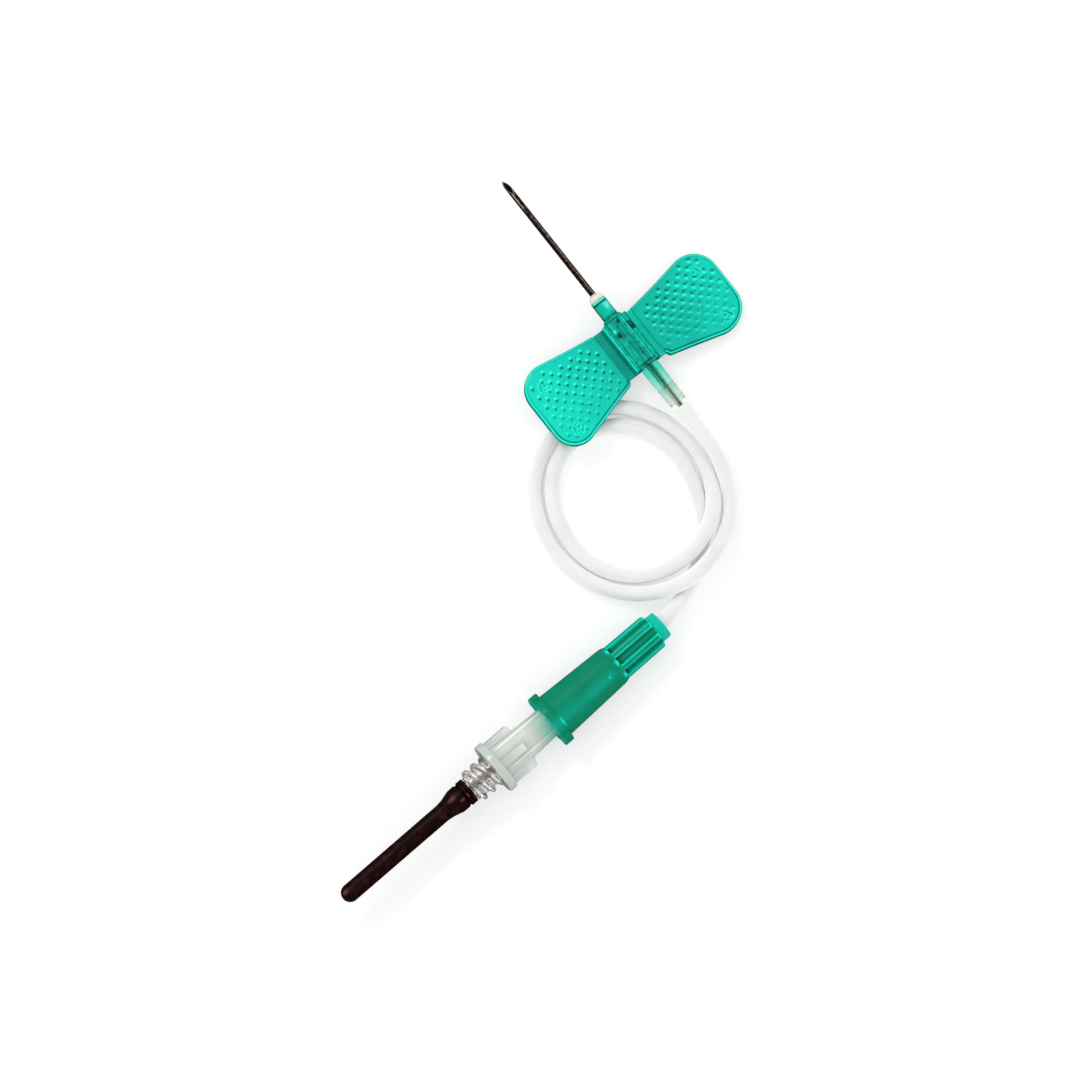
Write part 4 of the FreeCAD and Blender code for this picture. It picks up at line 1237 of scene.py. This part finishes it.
@dataclass
class Tubing:
    """The soft tubing, as it was laid in loose turns."""

    diameter: float = 2.0
    bore: float = 1.2
    around: int = 36
    bonded_length: float = 3.2
    route: tuple[tuple[float, float, float], ...] = (
        (15.93, 20.22, 3.12), (19.27, 15.97, 3.12), (23.2, 10.7, 2.9), (24.7, 4.7, 1.2),
        (22.8, -1.5, 3.3), (18.5, -5.9, 3.9), (12.6, -7.2, 1.2), (6.6, -5.9, 1.0),
        (1.5, -2.0, 1.0), (-1.3, 3.6, 1.0), (-1.4, 9.8, 1.0), (1.9, 15.2, 1.0),
        (7.3, 18.0, 1.0), (13.5, 17.4, 1.0), (18.7, 14.0, 1.0), (22.0, 8.8, 1.0),
        (22.2, 2.8, 3.3), (18.9, -2.4, 3.2), (13.6, -4.8, 1.1), (7.8, -4.1, 1.0),
        (3.3, -0.6, 1.0), (0.8, 4.9, 1.0), (1.2, 10.6, 1.0), (5.1, 14.6, 1.0),
        (11.0, 15.7, 1.0), (16.5, 13.0, 1.0), (19.7, 8.0, 1.0), (21.3, 2.1, 1.0),
        (20.0, -3.8, 1.0), (17.33, -9.2, 2.37), (12.89, -13.07, 2.63),
    )

    def middle_line(self) -> np.ndarray:
        """Draws the smooth curve that the route's points steer.

        Returns:
            Points along it, in millimetres.
        """
        curve = bpy.data.curves.new("tubing_route", "CURVE")
        curve.dimensions = "3D"
        curve.resolution_u = 12
        spline = curve.splines.new("NURBS")
        spline.points.add(len(self.route) - 1)
        for point, place in zip(spline.points, self.route):
            point.co = (*place, 1.0)
        spline.order_u = 3
        spline.use_endpoint_u = True
        holder = bpy.data.objects.new("tubing_route", curve)
        bpy.context.scene.collection.objects.link(holder)
        bpy.context.view_layer.update()
        drawn = holder.evaluated_get(bpy.context.evaluated_depsgraph_get())
        mesh = bpy.data.meshes.new_from_object(drawn)
        points = np.array([vertex.co for vertex in mesh.vertices], float)
        bpy.data.meshes.remove(mesh)
        bpy.data.objects.remove(holder)
        bpy.data.curves.remove(curve)
        return points

    def swept(self, line: np.ndarray, radius: float) -> np.ndarray:
        """Rings of one radius round each point of a line, without twist.

        Args:
            line: the line's points, one to a row.
            radius: the rings' radius.

        Returns:
            The rings' points, ring after ring.
        """
        ahead = np.gradient(line, axis=0)
        ahead /= np.linalg.norm(ahead, axis=1)[:, None]
        side = np.cross(ahead[0], (0.0, 0.0, 1.0))
        angles = np.linspace(0.0, 2 * math.pi, self.around, endpoint=False)
        rings = []
        for point, way in zip(line, ahead):
            side = side - way * float(side @ way)
            side /= np.linalg.norm(side)
            lift = np.cross(way, side)
            arms = np.outer(np.cos(angles), side) + np.outer(np.sin(angles), lift)
            rings.append(point + radius * arms)
        return np.concatenate(rings)

    def tone(self, points: np.ndarray, line: np.ndarray) -> np.ndarray:
        """Painted light down the sides and painted shade on top, which even out the tubing's shading.

        Args:
            points: the points of the outer rings and then of the inner ones, in millimetres.
            line: the tubing's middle line.

        Returns:
            The tone of each point.
        """
        middles = np.tile(np.repeat(line[:, 2], self.around), 2)
        rise = np.clip((points[:, 2] - middles) * 2 / self.diameter, -1.0, 1.0)
        # Painted light below the middle, painted shade towards the top.
        return 0.8 - 1.1 * smooth_step(0.1, 0.95, rise)

    def build(self) -> list[bpy.types.Object]:
        """Returns:
            The one piece, in a list.
        """
        bench = Bench(Vector(), Vector((1, 0, 0)), Vector((0, 1, 0)), Vector((0, 0, 1)))
        line = self.middle_line()
        outer = self.swept(line, self.diameter / 2)
        inner = self.swept(line, self.bore / 2)
        rings, count = len(line), self.around
        wall = grid_faces(rings, count, closed=True)
        faces = wall + [tuple(index + len(outer) for index in reversed(quad)) for quad in wall]
        for start in (0, (rings - 1) * count):
            for place in range(count):
                here, there = start + place, start + (place + 1) % count
                faces.append((here, there, there + len(outer), here + len(outer)))
        skin = np.concatenate((outer, inner)), faces
        piece = make_piece("soft_tubing", bench, [skin], lambda points: self.tone(points, line))
        dress(piece, TUBE_VINYL, bench)
        start = Vector(line[0]) * MM
        dress_part(
            piece,
            BONDED_VINYL,
            bench,
            lambda middle: (middle - start).length < self.bonded_length * MM,
        )
        settle(piece, "needle_set", ["tubing"])
        return [piece]


@dataclass
class Connector:
    """The green female luer: tube socket, ribbed grip, cone and flange with two lugs."""

    bench: Bench
    collar_radius: float = 1.935
    core_radius: float = 2.0
    grip_start: float = 1.3
    grip_end: float = 7.9
    rib_count: int = 8
    rib_width: float = 0.75
    rib_front_radius: float = 2.585
    rib_end_radius: float = 2.65
    rib_round: float = 0.4
    cone_start: float = 8.5
    cone_start_radius: float = 2.8
    cone_end_radius: float = 3.19
    flange_start: float = 18.5
    length: float = 19.8
    flange_radius: float = 3.25
    lug_radius: float = 3.89
    lug_half_width: float = 1.6
    mouth_radius: float = 2.15
    luer_floor: float = 11.5
    luer_floor_radius: float = 1.9
    passage_radius: float = 0.6
    socket_floor: float = 3.2
    socket_radius: float = 1.02
    grip_middle_radius: float = 2.3
    gate_degrees: float = 65.0
    gate_station: float = 10.0
    rib_turn_degrees: float = -8.0

    def off_rib(self, angles: np.ndarray) -> np.ndarray:
        """How far round the grip the nearest rib is.

        Args:
            angles: angles round the connector's axis, in radians.

        Returns:
            Each one's distance from the middle of the nearest rib.
        """
        pitch = 2 * math.pi / self.rib_count
        turned = angles - math.radians(self.rib_turn_degrees)
        return np.abs((turned % pitch) - pitch / 2) * self.grip_middle_radius

    def rib_wave(self, angles: np.ndarray) -> np.ndarray:
        """Whether each angle is on a rib: 1 there, and 0 between the ribs."""
        half = self.rib_width / 2
        return smooth_step(half + 0.06, half - 0.06, self.off_rib(angles))

    def lug_outline(self, angles: np.ndarray, back: float) -> np.ndarray:
        """Radius of the flange and its lugs, set back by a little for their rounded edges."""
        flat_side = self.lug_half_width / np.maximum(np.abs(np.sin(angles)), 1e-6)
        return np.clip(flat_side, self.flange_radius, self.lug_radius) - back

    def rings(self, angles: np.ndarray) -> tuple[list[float], list[np.ndarray]]:
        """Rings from the passage out over the outside and back into the luer.

        Args:
            angles: the angles of each ring's points, in radians.

        Returns:
            Each ring's place along the axis, and its radius at each angle.
        """
        even = np.ones_like(angles)
        stations, radii = [], []

        def add(station: float, radius: float | np.ndarray) -> None:
            """Adds one ring."""
            stations.append(station)
            radii.append(radius * even)

        for station, radius in soften([
            (self.luer_floor, self.passage_radius),
            (self.socket_floor, self.passage_radius),
            (self.socket_floor, self.socket_radius),
            (0.0, self.socket_radius, 0.08),
            (0.0, self.collar_radius, 0.1),
            (self.grip_start - 0.02, self.collar_radius + 0.01),
        ]):
            add(station, radius)
        wave = self.rib_wave(angles)
        for share in (0.0, 0.03, 0.1, 0.22, 0.4, 0.6, 0.8, 1.0):
            station = self.grip_start + share * self.rib_round
            rise = math.sqrt(1 - (1 - share) ** 2)
            add(station, self.core_radius + (self.rib_front_radius - self.core_radius) * wave * rise)
        for station in np.linspace(self.grip_start + self.rib_round, self.grip_end - 0.12, 24)[1:]:
            share = (station - self.grip_start) / (self.grip_end - self.grip_start)
            top = self.rib_front_radius + share * (self.rib_end_radius - self.rib_front_radius)
            add(station, self.core_radius + (top - self.core_radius) * wave)
        valley = 1 - wave
        depth = self.rib_end_radius - self.core_radius
        for share, lift in ((0.35, 0.07), (0.7, 0.25), (0.9, 0.55), (1.0, 1.0)):
            station = self.grip_end - 0.12 * (1 - share)
            add(station, self.rib_end_radius - depth * valley * (1 - lift))
        for station, radius in soften([
            (self.grip_end, self.rib_end_radius),
            (self.cone_start, self.cone_start_radius, 0.5),
            (self.flange_start, self.cone_end_radius),
        ])[1:-1]:
            add(station, radius)
        pip = ridge(math.radians(self.gate_degrees), 0.06, angles)
        for station in np.linspace(self.cone_start + 0.3, self.flange_start - 0.1, 60):
            share = (station - self.cone_start) / (self.flange_start - self.cone_start)
            radius = self.cone_start_radius + share * (self.cone_end_radius - self.cone_start_radius)
            add(station, radius + 0.06 * pip * float(ridge(self.gate_station, 0.14, np.array(station))))
        add(self.flange_start, self.cone_end_radius + 0.02)
        for inset, back in ((0.0, 0.1), (0.03, 0.03), (0.1, 0.0)):
            add(self.flange_start + inset, self.lug_outline(angles, back))
        for inset, back in ((0.1, 0.0), (0.03, 0.03), (0.0, 0.1)):
            add(self.length - inset, self.lug_outline(angles, back))
        for station, radius in soften([
            (self.length, self.flange_radius - 0.2),
            (self.length, self.mouth_radius, 0.12),
            (self.luer_floor, self.luer_floor_radius),
            (self.luer_floor, self.passage_radius),
        ]):
            add(station, radius)
        return stations, radii

    def tone(self, points: np.ndarray) -> np.ndarray:
        """Lighter collar; painted highlights on the ribs' edges and front ends with painted shade beside them and
        at the valleys' ends; painted glints at the shoulder, the gate and the flange; a faint lighter band along
        the cone.

        Args:
            points: the piece's points on the bench, in millimetres.

        Returns:
            The tone of each point.
        """
        along, across, up = points.T
        angles = np.arctan2(up, across)
        degrees = np.degrees(angles)
        off = self.off_rib(angles)
        half = self.rib_width / 2
        from_valley = math.pi / self.rib_count * self.grip_middle_radius - off
        collar = 0.42 * smooth_step(self.grip_start + 0.2, self.grip_start - 0.1, along)
        on_grip = (along > self.grip_start) & (along < self.grip_end - 0.02)
        # Painted highlights on the ribs' edges and front ends, painted shade beside the ribs and at the valleys'
        # ends.
        edges = 0.7 * ridge(half - 0.08, 0.07, off) - 0.55 * ridge(half + 0.13, 0.06, off)
        ends = 0.8 * ridge(self.grip_start + 0.15, 0.1, along) * (off < half)
        valley_end_shade = 0.8 * ridge(self.grip_end - 0.35, 0.15, along) * (off > half)
        grip = edges + ends + 0.06 - valley_end_shade
        # Painted glints at the valleys' ends, and a painted highlight along the shoulder.
        glint = 1.8 * ridge(self.grip_end - 0.03, 0.07, along) * ridge(0.0, 0.3, from_valley)
        shoulder = 0.2 * ridge(self.grip_end + 0.12, 0.1, along)
        on_cone = smooth_step(self.cone_start, self.gate_station, along)
        streak = 0.12 * ridge(self.gate_degrees, 16.0, degrees) * on_cone
        # Painted glint on the gate's pip, and painted glints at the flange.
        gate = ridge(self.gate_degrees, 2.5, degrees) * ridge(self.gate_station, 0.12, along)
        front = ridge(self.flange_start - 0.06, 0.09, along)
        flange_glints = 1.1 * ridge(self.gate_degrees - 4.0, 12.0, degrees) * front
        flange_glints += 0.45 * ridge(self.gate_degrees, 12.0, degrees) * ridge(self.length - 0.5, 0.25, along)
        # Painted highlight on the mouth's rim.
        rim = 0.35 * ridge(self.length, 0.06, along)
        return collar + grip * on_grip + glint + shoulder + streak + gate + flange_glints + rim

    def build(self) -> list[bpy.types.Object]:
        """Makes the connector.

        Returns:
            The one piece, in a list.
        """
        angles = np.radians(np.arange(0.0, 360.0, 1.0))
        stations, radii = self.rings(angles)
        skin = polar(np.array(stations), np.array(radii), angles)
        piece = make_piece("luer_socket", self.bench, [skin], self.tone, 30.0)
        dress(piece, CONNECTOR_ABS, self.bench)
        return [settle(piece, "needle_set", ["luer_connector"])]


@dataclass
class Adapter:
    """The clear male luer with fins, a round flange and the holder's thread, and its rear needle."""

    male_tip: float = 14.1
    male_tip_radius: float = 1.939
    disc_front: float = 28.1
    male_root_radius: float = 2.359
    disc_radius: float = 3.7
    disc_back: float = 29.25
    core_radius: float = 1.8
    crest_radius: float = 2.35
    thread_end: float = 32.95
    lead: float = 2.82
    starts: int = 2
    first_turn: float = 0.29
    crest_half: float = 0.13
    root_half: float = 0.42
    nipple_radius: float = 1.1
    nipple_end: float = 36.55
    passage_radius: float = 1.0
    passage_end: float = 26.1
    cannula_hole_radius: float = 0.43
    fin_count: int = 4
    fin_radius: float = 3.3
    fin_thickness: float = 1.0
    fin_root_length: float = 4.1
    fin_tip_length: float = 3.7
    fin_turn_degrees: float = -15.0
    upper_fin_from: float = 1.6
    bench: Bench = field(init=False)

    def __post_init__(self) -> None:
        """Finds the bench: its axis from the holder's thread, its turn from the holder's seat."""
        thread = named(frame["record"]["mounts"], "holder_thread")
        seat = named(frame["record"]["mounts"], "holder_seat")
        along = Vector(thread["axis"]).normalized()
        middle = Vector(thread["pos_m"])
        off = Vector(seat["pos_m"]) - middle
        across = (off - along * off.dot(along)).normalized()
        station = (self.disc_back + self.thread_end) / 2
        self.bench = Bench(middle - along * station * MM, along, across, along.cross(across))

    def body(self) -> bpy.types.Object:
        """Makes the luer cone and the round flange, milky because they are thick.

        Returns:
            The piece, dressed and settled.
        """
        corners = [
            (self.male_tip, self.passage_radius),
            (self.male_tip, self.male_tip_radius, 0.2),
            (self.disc_front, self.male_root_radius, 0.15),
            (self.disc_front, self.disc_radius, 0.2),
            (self.disc_back, self.disc_radius, 0.2),
            (self.disc_back, self.core_radius - 0.2),
            (self.disc_back, self.cannula_hole_radius),
            (self.passage_end, self.cannula_hole_radius),
            (self.passage_end, self.passage_radius, 0.3),
            (self.male_tip, self.passage_radius),
        ]
        skin = lathe(split_long(soften(corners), 0.5), 128)
        piece = make_piece("adapter_body", self.bench, [skin], self.body_tone)
        dress(piece, ADAPTER_PP, self.bench)
        return settle(piece, "rear_adapter", ["luer_adapter"])

    def body_tone(self, points: np.ndarray) -> np.ndarray:
        """The cone a little lighter, with a painted green reflection of the connector's mouth and painted
        highlight and shade lines along its top.

        Args:
            points: the piece's points on the bench, in millimetres.

        Returns:
            The tone of each point.
        """
        along, across, up = points.T
        on_cone = smooth_step(self.disc_front, self.disc_front - 0.2, along)
        # Painted green reflection of the connector's mouth, stronger on one side.
        green = smooth_step(23.4, 19.6, along) * smooth_step(18.6, 19.7, along)
        green = green * (0.7 + 0.4 * smooth_step(-1.2, 0.8, across))
        # Painted highlight and shade lines along the cone's top.
        lines = 0.9 * ridge(-1.5, 0.13, across) - 0.25 * ridge(-1.75, 0.08, across)
        lines += 0.5 * ridge(1.62, 0.1, across) - 0.2 * ridge(1.35, 0.12, across)
        return on_cone * (0.2 - green + lines * (up > 0) * smooth_step(28.0, 26.5, along))

    def fins(self) -> bpy.types.Object:
        """Makes the four flat fins that stand on the cone in front of the flange.

        Returns:
            The piece, dressed and settled.
        """
        half = self.fin_thickness / 2
        side = soften([
            (self.disc_front + 0.05, 2.0),
            (self.disc_front - self.fin_root_length, 2.0),
            (self.disc_front - self.fin_root_length, self.male_root_radius, 0.05),
            (self.disc_front - self.fin_tip_length, self.fin_radius, 0.15),
            (self.disc_front + 0.05, self.fin_radius),
        ], 4)
        centre = side.mean(axis=0)
        skins = []
        for fin in range(self.fin_count):
            turn = 2 * math.pi * fin / self.fin_count + math.radians(self.fin_turn_degrees)
            outward = np.array([0.0, math.cos(turn), math.sin(turn)])
            sideways = np.array([0.0, -math.sin(turn), math.cos(turn)])
            layers = []
            for offset, shrink in ((-half, 0.06), (-half + 0.05, 0.0), (half - 0.05, 0.0), (half, 0.06)):
                ring = side + (centre - side) * shrink / 1.5
                along = np.outer(ring[:, 0], (1.0, 0.0, 0.0))
                layers.append(along + np.outer(ring[:, 1], outward) + offset * sideways)
            count = len(side)
            faces = grid_faces(len(layers), count, closed=True)
            faces.append(tuple(range(count)))
            faces.append(tuple(range(3 * count, 4 * count)))
            skins.append((np.concatenate(layers), faces))
        piece = make_piece("adapter_fins", self.bench, skins, self.fin_tone)
        dress(piece, FIN_PP, self.bench)
        dress_part(
            piece,
            ADAPTER_PP,
            self.bench,
            lambda middle: (middle - self.bench.origin).dot(self.bench.up) > self.upper_fin_from * MM,
        )
        return settle(piece, "rear_adapter")

    def fin_tone(self, points: np.ndarray) -> np.ndarray:
        """Painted glints at the fins' free ends, painted shade along their outer edges but for the upper fin, and
        a little painted shade on the upper fin, which faces the lamp.

        Args:
            points: the piece's points on the bench, in millimetres.

        Returns:
            The tone of each point.
        """
        radius = np.hypot(points[:, 1], points[:, 2])
        free_end = self.disc_front - self.fin_tip_length
        # Painted glints at the free ends, painted shade along the outer edges, a little painted shade on the upper
        # fin.
        end = 0.6 * ridge(free_end, 0.2, points[:, 0])
        upper = (points[:, 2] > 1.0) & (np.abs(points[:, 1]) < 1.6)
        return end - 0.1 * upper - 0.3 * ridge(self.fin_radius, 0.12, radius) * (1 - upper)

    def thread(self) -> bpy.types.Object:
        """Makes the holder's thread, right-handed with two starts, and the nipple behind it.

        Returns:
            The piece, dressed and settled.
        """
        angles = np.linspace(0.0, 2 * math.pi, 144, endpoint=False)
        stations = np.linspace(self.disc_back - 0.02, self.thread_end, 90)
        pitch = self.lead / self.starts
        turns = stations[:, None] / self.lead - angles[None, :] / (2 * math.pi) + self.first_turn
        off = np.abs((turns * self.starts) % 1.0 - 0.5) * pitch
        crest = smooth_step(self.root_half, self.crest_half, off)
        fade = smooth_step(self.disc_back, self.disc_back + 0.3, stations)
        close = smooth_step(self.thread_end + 0.02, self.thread_end - 0.16, stations)
        rise = (self.crest_radius - self.core_radius) * crest * (fade * close)[:, None]
        radii = list(self.core_radius + rise)
        places = list(stations)
        end = soften([
            (self.thread_end, self.core_radius - 0.1),
            (self.thread_end, self.nipple_radius, 0.1),
            (self.nipple_end, self.nipple_radius, 0.1),
            (self.nipple_end, self.cannula_hole_radius),
            (self.disc_back - 0.02, self.cannula_hole_radius),
            (self.disc_back - 0.02, self.core_radius),
        ])
        for place, radius in end:
            places.append(place)
            radii.append(np.full(len(angles), radius))
        skin = polar(np.array(places), np.array(radii), angles)
        piece = make_piece("holder_thread", self.bench, [skin], self.thread_tone, 45.0)
        dress(piece, THIN_PP, self.bench)
        return settle(piece, "rear_adapter")

    def thread_tone(self, points: np.ndarray) -> np.ndarray:
        """Painted shade along the thread's flanks, painted highlights on its crests.

        Args:
            points: the piece's points on the bench, in millimetres.

        Returns:
            The tone of each point.
        """
        radius = np.hypot(points[:, 1], points[:, 2])
        # Painted highlights on the crests, painted shade along the flanks.
        crest = smooth_step(self.crest_radius - 0.15, self.crest_radius - 0.02, radius)
        return 1.2 * crest - 0.2 - 0.7 * ridge(self.core_radius + 0.2, 0.14, radius)

    def build(self) -> list[bpy.types.Object]:
        """Makes the adapter and dresses the two hidden solids behind it.

        Returns:
            The adapter's pieces and the two solids.
        """
        pieces = [self.body(), self.fins(), self.thread()]
        for name, finish in (("rear_cannula", DRAWN_STEEL), ("rear_needle_bond", BEAD_EPOXY)):
            solid = frame["nodes"][name]
            dress(solid, finish, self.bench)
            pieces.append(solid)
        return pieces


@dataclass
class RubberSleeve:
    """The dark rubber sleeve over the rear needle."""

    bench: Bench
    start: float = 33.2
    bore_radius: float = 1.32
    base_radius: float = 1.835
    groove_radius: float = 1.6
    bulge_radius: float = 1.75
    radius: float = 1.225
    tip: float = 54.95
    # Soft painted highlights: place behind the open end and across, length, width and tone.
    glints: tuple[tuple[float, float, float, float, float], ...] = (
        (0.75, 0.6, 0.08, 0.2, 2.5), (1.65, 0.65, 0.3, 0.15, 0.8), (2.75, -0.35, 0.5, 0.25, 0.8),
        (21.05, -0.3, 0.3, 0.25, 0.8),
    )

    def build(self) -> list[bpy.types.Object]:
        """Makes the sleeve: base ring, groove, swelling, long straight part and round closed tip.

        Returns:
            The one piece, in a list.
        """
        corners = [
            (self.start, self.bore_radius),
            (self.start, self.base_radius - 0.05, 0.05),
            (self.start + 0.5, self.base_radius - 0.03, 0.05),
            (self.start + 0.56, self.base_radius - 0.12, 0.03),
            (self.start + 0.64, self.base_radius - 0.02, 0.05),
            (self.start + 0.93, self.base_radius - 0.02, 0.08),
            (self.start + 1.02, self.groove_radius, 0.08),
            (self.start + 1.22, self.groove_radius, 0.08),
            (self.start + 1.38, self.bulge_radius, 0.14),
            (self.start + 2.45, self.bulge_radius - 0.03, 0.8),
            (self.start + 3.7, self.radius + 0.14, 0.8),
            (self.start + 4.6, self.radius + 0.01, 0.8),
            (self.tip - 2.5, self.radius),
            (self.tip, self.radius, self.radius - 0.02),
            (self.tip, 0.0),
            (self.start + 3.4, 0.0),
            (self.start + 3.3, self.bore_radius),
            (self.start, self.bore_radius),
        ]
        line = split_long(soften(corners, 10), 0.2)
        piece = make_piece("rubber_sheath", self.bench, [lathe(line)], self.tone)
        dress(piece, SLEEVE_RUBBER, self.bench)
        return [settle(piece, "rear_adapter", ["rubber_sleeve"])]

    def tone(self, points: np.ndarray) -> np.ndarray:
        """Painted shade in the grooves of the base, with soft painted highlights on the base, the swelling and the
        tip.

        Args:
            points: the piece's points on the bench, in millimetres.

        Returns:
            The tone of each point.
        """
        along, across, up = points.T
        # Painted shade in the base's grooves.
        tone = -0.8 * ridge(self.start + 0.56, 0.07, along) - 0.8 * ridge(self.start + 1.12, 0.12, along)
        for behind, aside, length, width, strength in self.glints:
            # Soft painted highlights, on the upper side only.
            spot = ridge(self.start + behind, length, along) * ridge(aside, width, across)
            tone = tone + strength * spot * (up > 0)
        return tone


@dataclass
class Studio:
    """Pale floor, soft light and the camera above the table."""

    view_width: float = 0.1419
    lens: float = 250.0
    tilt_degrees: float = 6.5
    aim: tuple[float, float, float] = (-0.00035, 0.00015, 0.0)
    ambient: float = 1.08
    mirrored_room: float = 0.03
    floor_glow: float = 0.5
    floor_half: float = 3.0
    floor_drop_mm: float = 0.02
    key_place: tuple[float, float, float] = (-0.3, 0.34, 0.5)
    key_width: float = 0.12
    key_power: float = 0.9

    def camera(self) -> None:
        """Sets the camera: almost straight down, leaning back towards the picture's lower edge."""
        data = bpy.data.cameras.new("camera")
        data.lens = self.lens
        data.clip_start, data.clip_end = 0.01, 20.0
        camera = bpy.data.objects.new("camera", data)
        bpy.context.scene.collection.objects.link(camera)
        distance = self.view_width * self.lens / data.sensor_width
        tilt = math.radians(self.tilt_degrees)
        back = Vector((0.0, -math.sin(tilt), math.cos(tilt)))
        camera.location = Vector(self.aim) + back * distance
        camera.rotation_euler = (tilt, 0.0, 0.0)
        bpy.context.scene.camera = camera

    def world(self) -> None:
        """Lights the room evenly: white where it is seen, dim where a gloss mirrors it."""
        world = bpy.data.worlds.new("room")
        world.use_nodes = True
        tree = world.node_tree
        tree.nodes.clear()
        path = add_node(tree, "ShaderNodeLightPath")
        mirrored = add_node(
            tree,
            "ShaderNodeMapRange",
            {"To Min": self.ambient, "To Max": self.mirrored_room},
            {"Value": path.outputs["Is Glossy Ray"]},
        )
        through = add_node(
            tree,
            "ShaderNodeMapRange",
            {"To Max": 1.0},
            {"Value": path.outputs["Is Transmission Ray"], "To Min": mirrored.outputs[0]},
        )
        strength = add_node(
            tree,
            "ShaderNodeMapRange",
            {"To Max": 1.0},
            {"Value": path.outputs["Is Camera Ray"], "To Min": through.outputs[0]},
        )
        room = add_node(
            tree,
            "ShaderNodeBackground",
            {"Color": (1.0, 1.0, 1.0, 1.0)},
            {"Strength": strength.outputs[0]},
        )
        add_node(tree, "ShaderNodeOutputWorld", links={"Surface": room.outputs[0]})
        world.cycles.sampling_method = "NONE"
        bpy.context.scene.world = world

    def floor(self) -> None:
        """Makes a white table top, part of whose brightness is its own, so that shadows stay faint."""
        half, drop = self.floor_half, self.floor_drop_mm * MM
        mesh = bpy.data.meshes.new("table_top")
        corners = [(-half, -half, -drop), (half, -half, -drop), (half, half, -drop), (-half, half, -drop)]
        mesh.from_pydata(corners, [], [(0, 1, 2, 3)])
        table = bpy.data.objects.new("table_top", mesh)
        bpy.context.scene.collection.objects.link(table)
        material = bpy.data.materials.new("white_card")
        material.use_nodes = True
        tree = material.node_tree
        tree.nodes.clear()
        card = add_node(tree, "ShaderNodeBsdfDiffuse", {"Color": linear("#FAFAFA")})
        path = add_node(tree, "ShaderNodeLightPath")
        mirrored = add_node(
            tree,
            "ShaderNodeMapRange",
            {"To Min": 1.0, "To Max": self.mirrored_room},
            {"Value": path.outputs["Is Glossy Ray"]},
        )
        strength = add_node(
            tree,
            "ShaderNodeMapRange",
            {"To Max": 1.0},
            {"Value": path.outputs["Is Transmission Ray"], "To Min": mirrored.outputs[0]},
        )
        glow = add_node(
            tree,
            "ShaderNodeEmission",
            {"Color": linear("#FFFFFF")},
            {"Strength": strength.outputs[0]},
        )
        unseen = add_node(
            tree,
            "ShaderNodeMath",
            {"operation": "MAXIMUM"},
            {0: path.outputs["Is Transmission Ray"], 1: path.outputs["Is Glossy Ray"]},
        )
        share = add_node(
            tree,
            "ShaderNodeMapRange",
            {"To Max": self.floor_glow},
            {"Value": path.outputs["Is Camera Ray"], "To Min": unseen.outputs[0]},
        )
        mixed = add_node(
            tree,
            "ShaderNodeMixShader",
            links={0: share.outputs[0], 1: card.outputs[0], 2: glow.outputs[0]},
        )
        add_node(tree, "ShaderNodeOutputMaterial", links={"Surface": mixed.outputs[0]})
        mesh.materials.append(material)

    def lamp(self, name: str, place: tuple[float, float, float], width: float, power: float) -> None:
        """Adds a square soft lamp that faces the object.

        Args:
            name: the lamp's name.
            place: where it hangs, in metres.
            width: its side, in metres.
            power: its power in watts.
        """
        data = bpy.data.lights.new(name, "AREA")
        data.size = width
        data.energy = power
        lamp = bpy.data.objects.new(name, data)
        lamp.location = place
        lamp.rotation_euler = Vector(place).to_track_quat("Z", "Y").to_euler()
        bpy.context.scene.collection.objects.link(lamp)

    def build(self) -> None:
        """Sets up the view, the room and the lamp."""
        self.camera()
        self.world()
        self.floor()
        self.lamp("key_lamp", self.key_place, self.key_width, self.key_power)
        bpy.context.scene.view_settings.view_transform = "Standard"


def main() -> None:
    """Builds the studio and the set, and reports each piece."""
    logging.basicConfig(level=logging.INFO, format="%(message)s")
    Studio().build()
    adapter = Adapter()
    connector = Connector(adapter.bench.turned(CONNECTOR_TURN_DEGREES))
    for assembly in (Tubing(), WingedNeedle(), adapter, connector, RubberSleeve(adapter.bench)):
        for piece in assembly.build():
            LOG.info("%s: %s, %d faces", type(assembly).__name__, piece.name, len(piece.data.polygons))


if __name__ == "__main__":
    main()
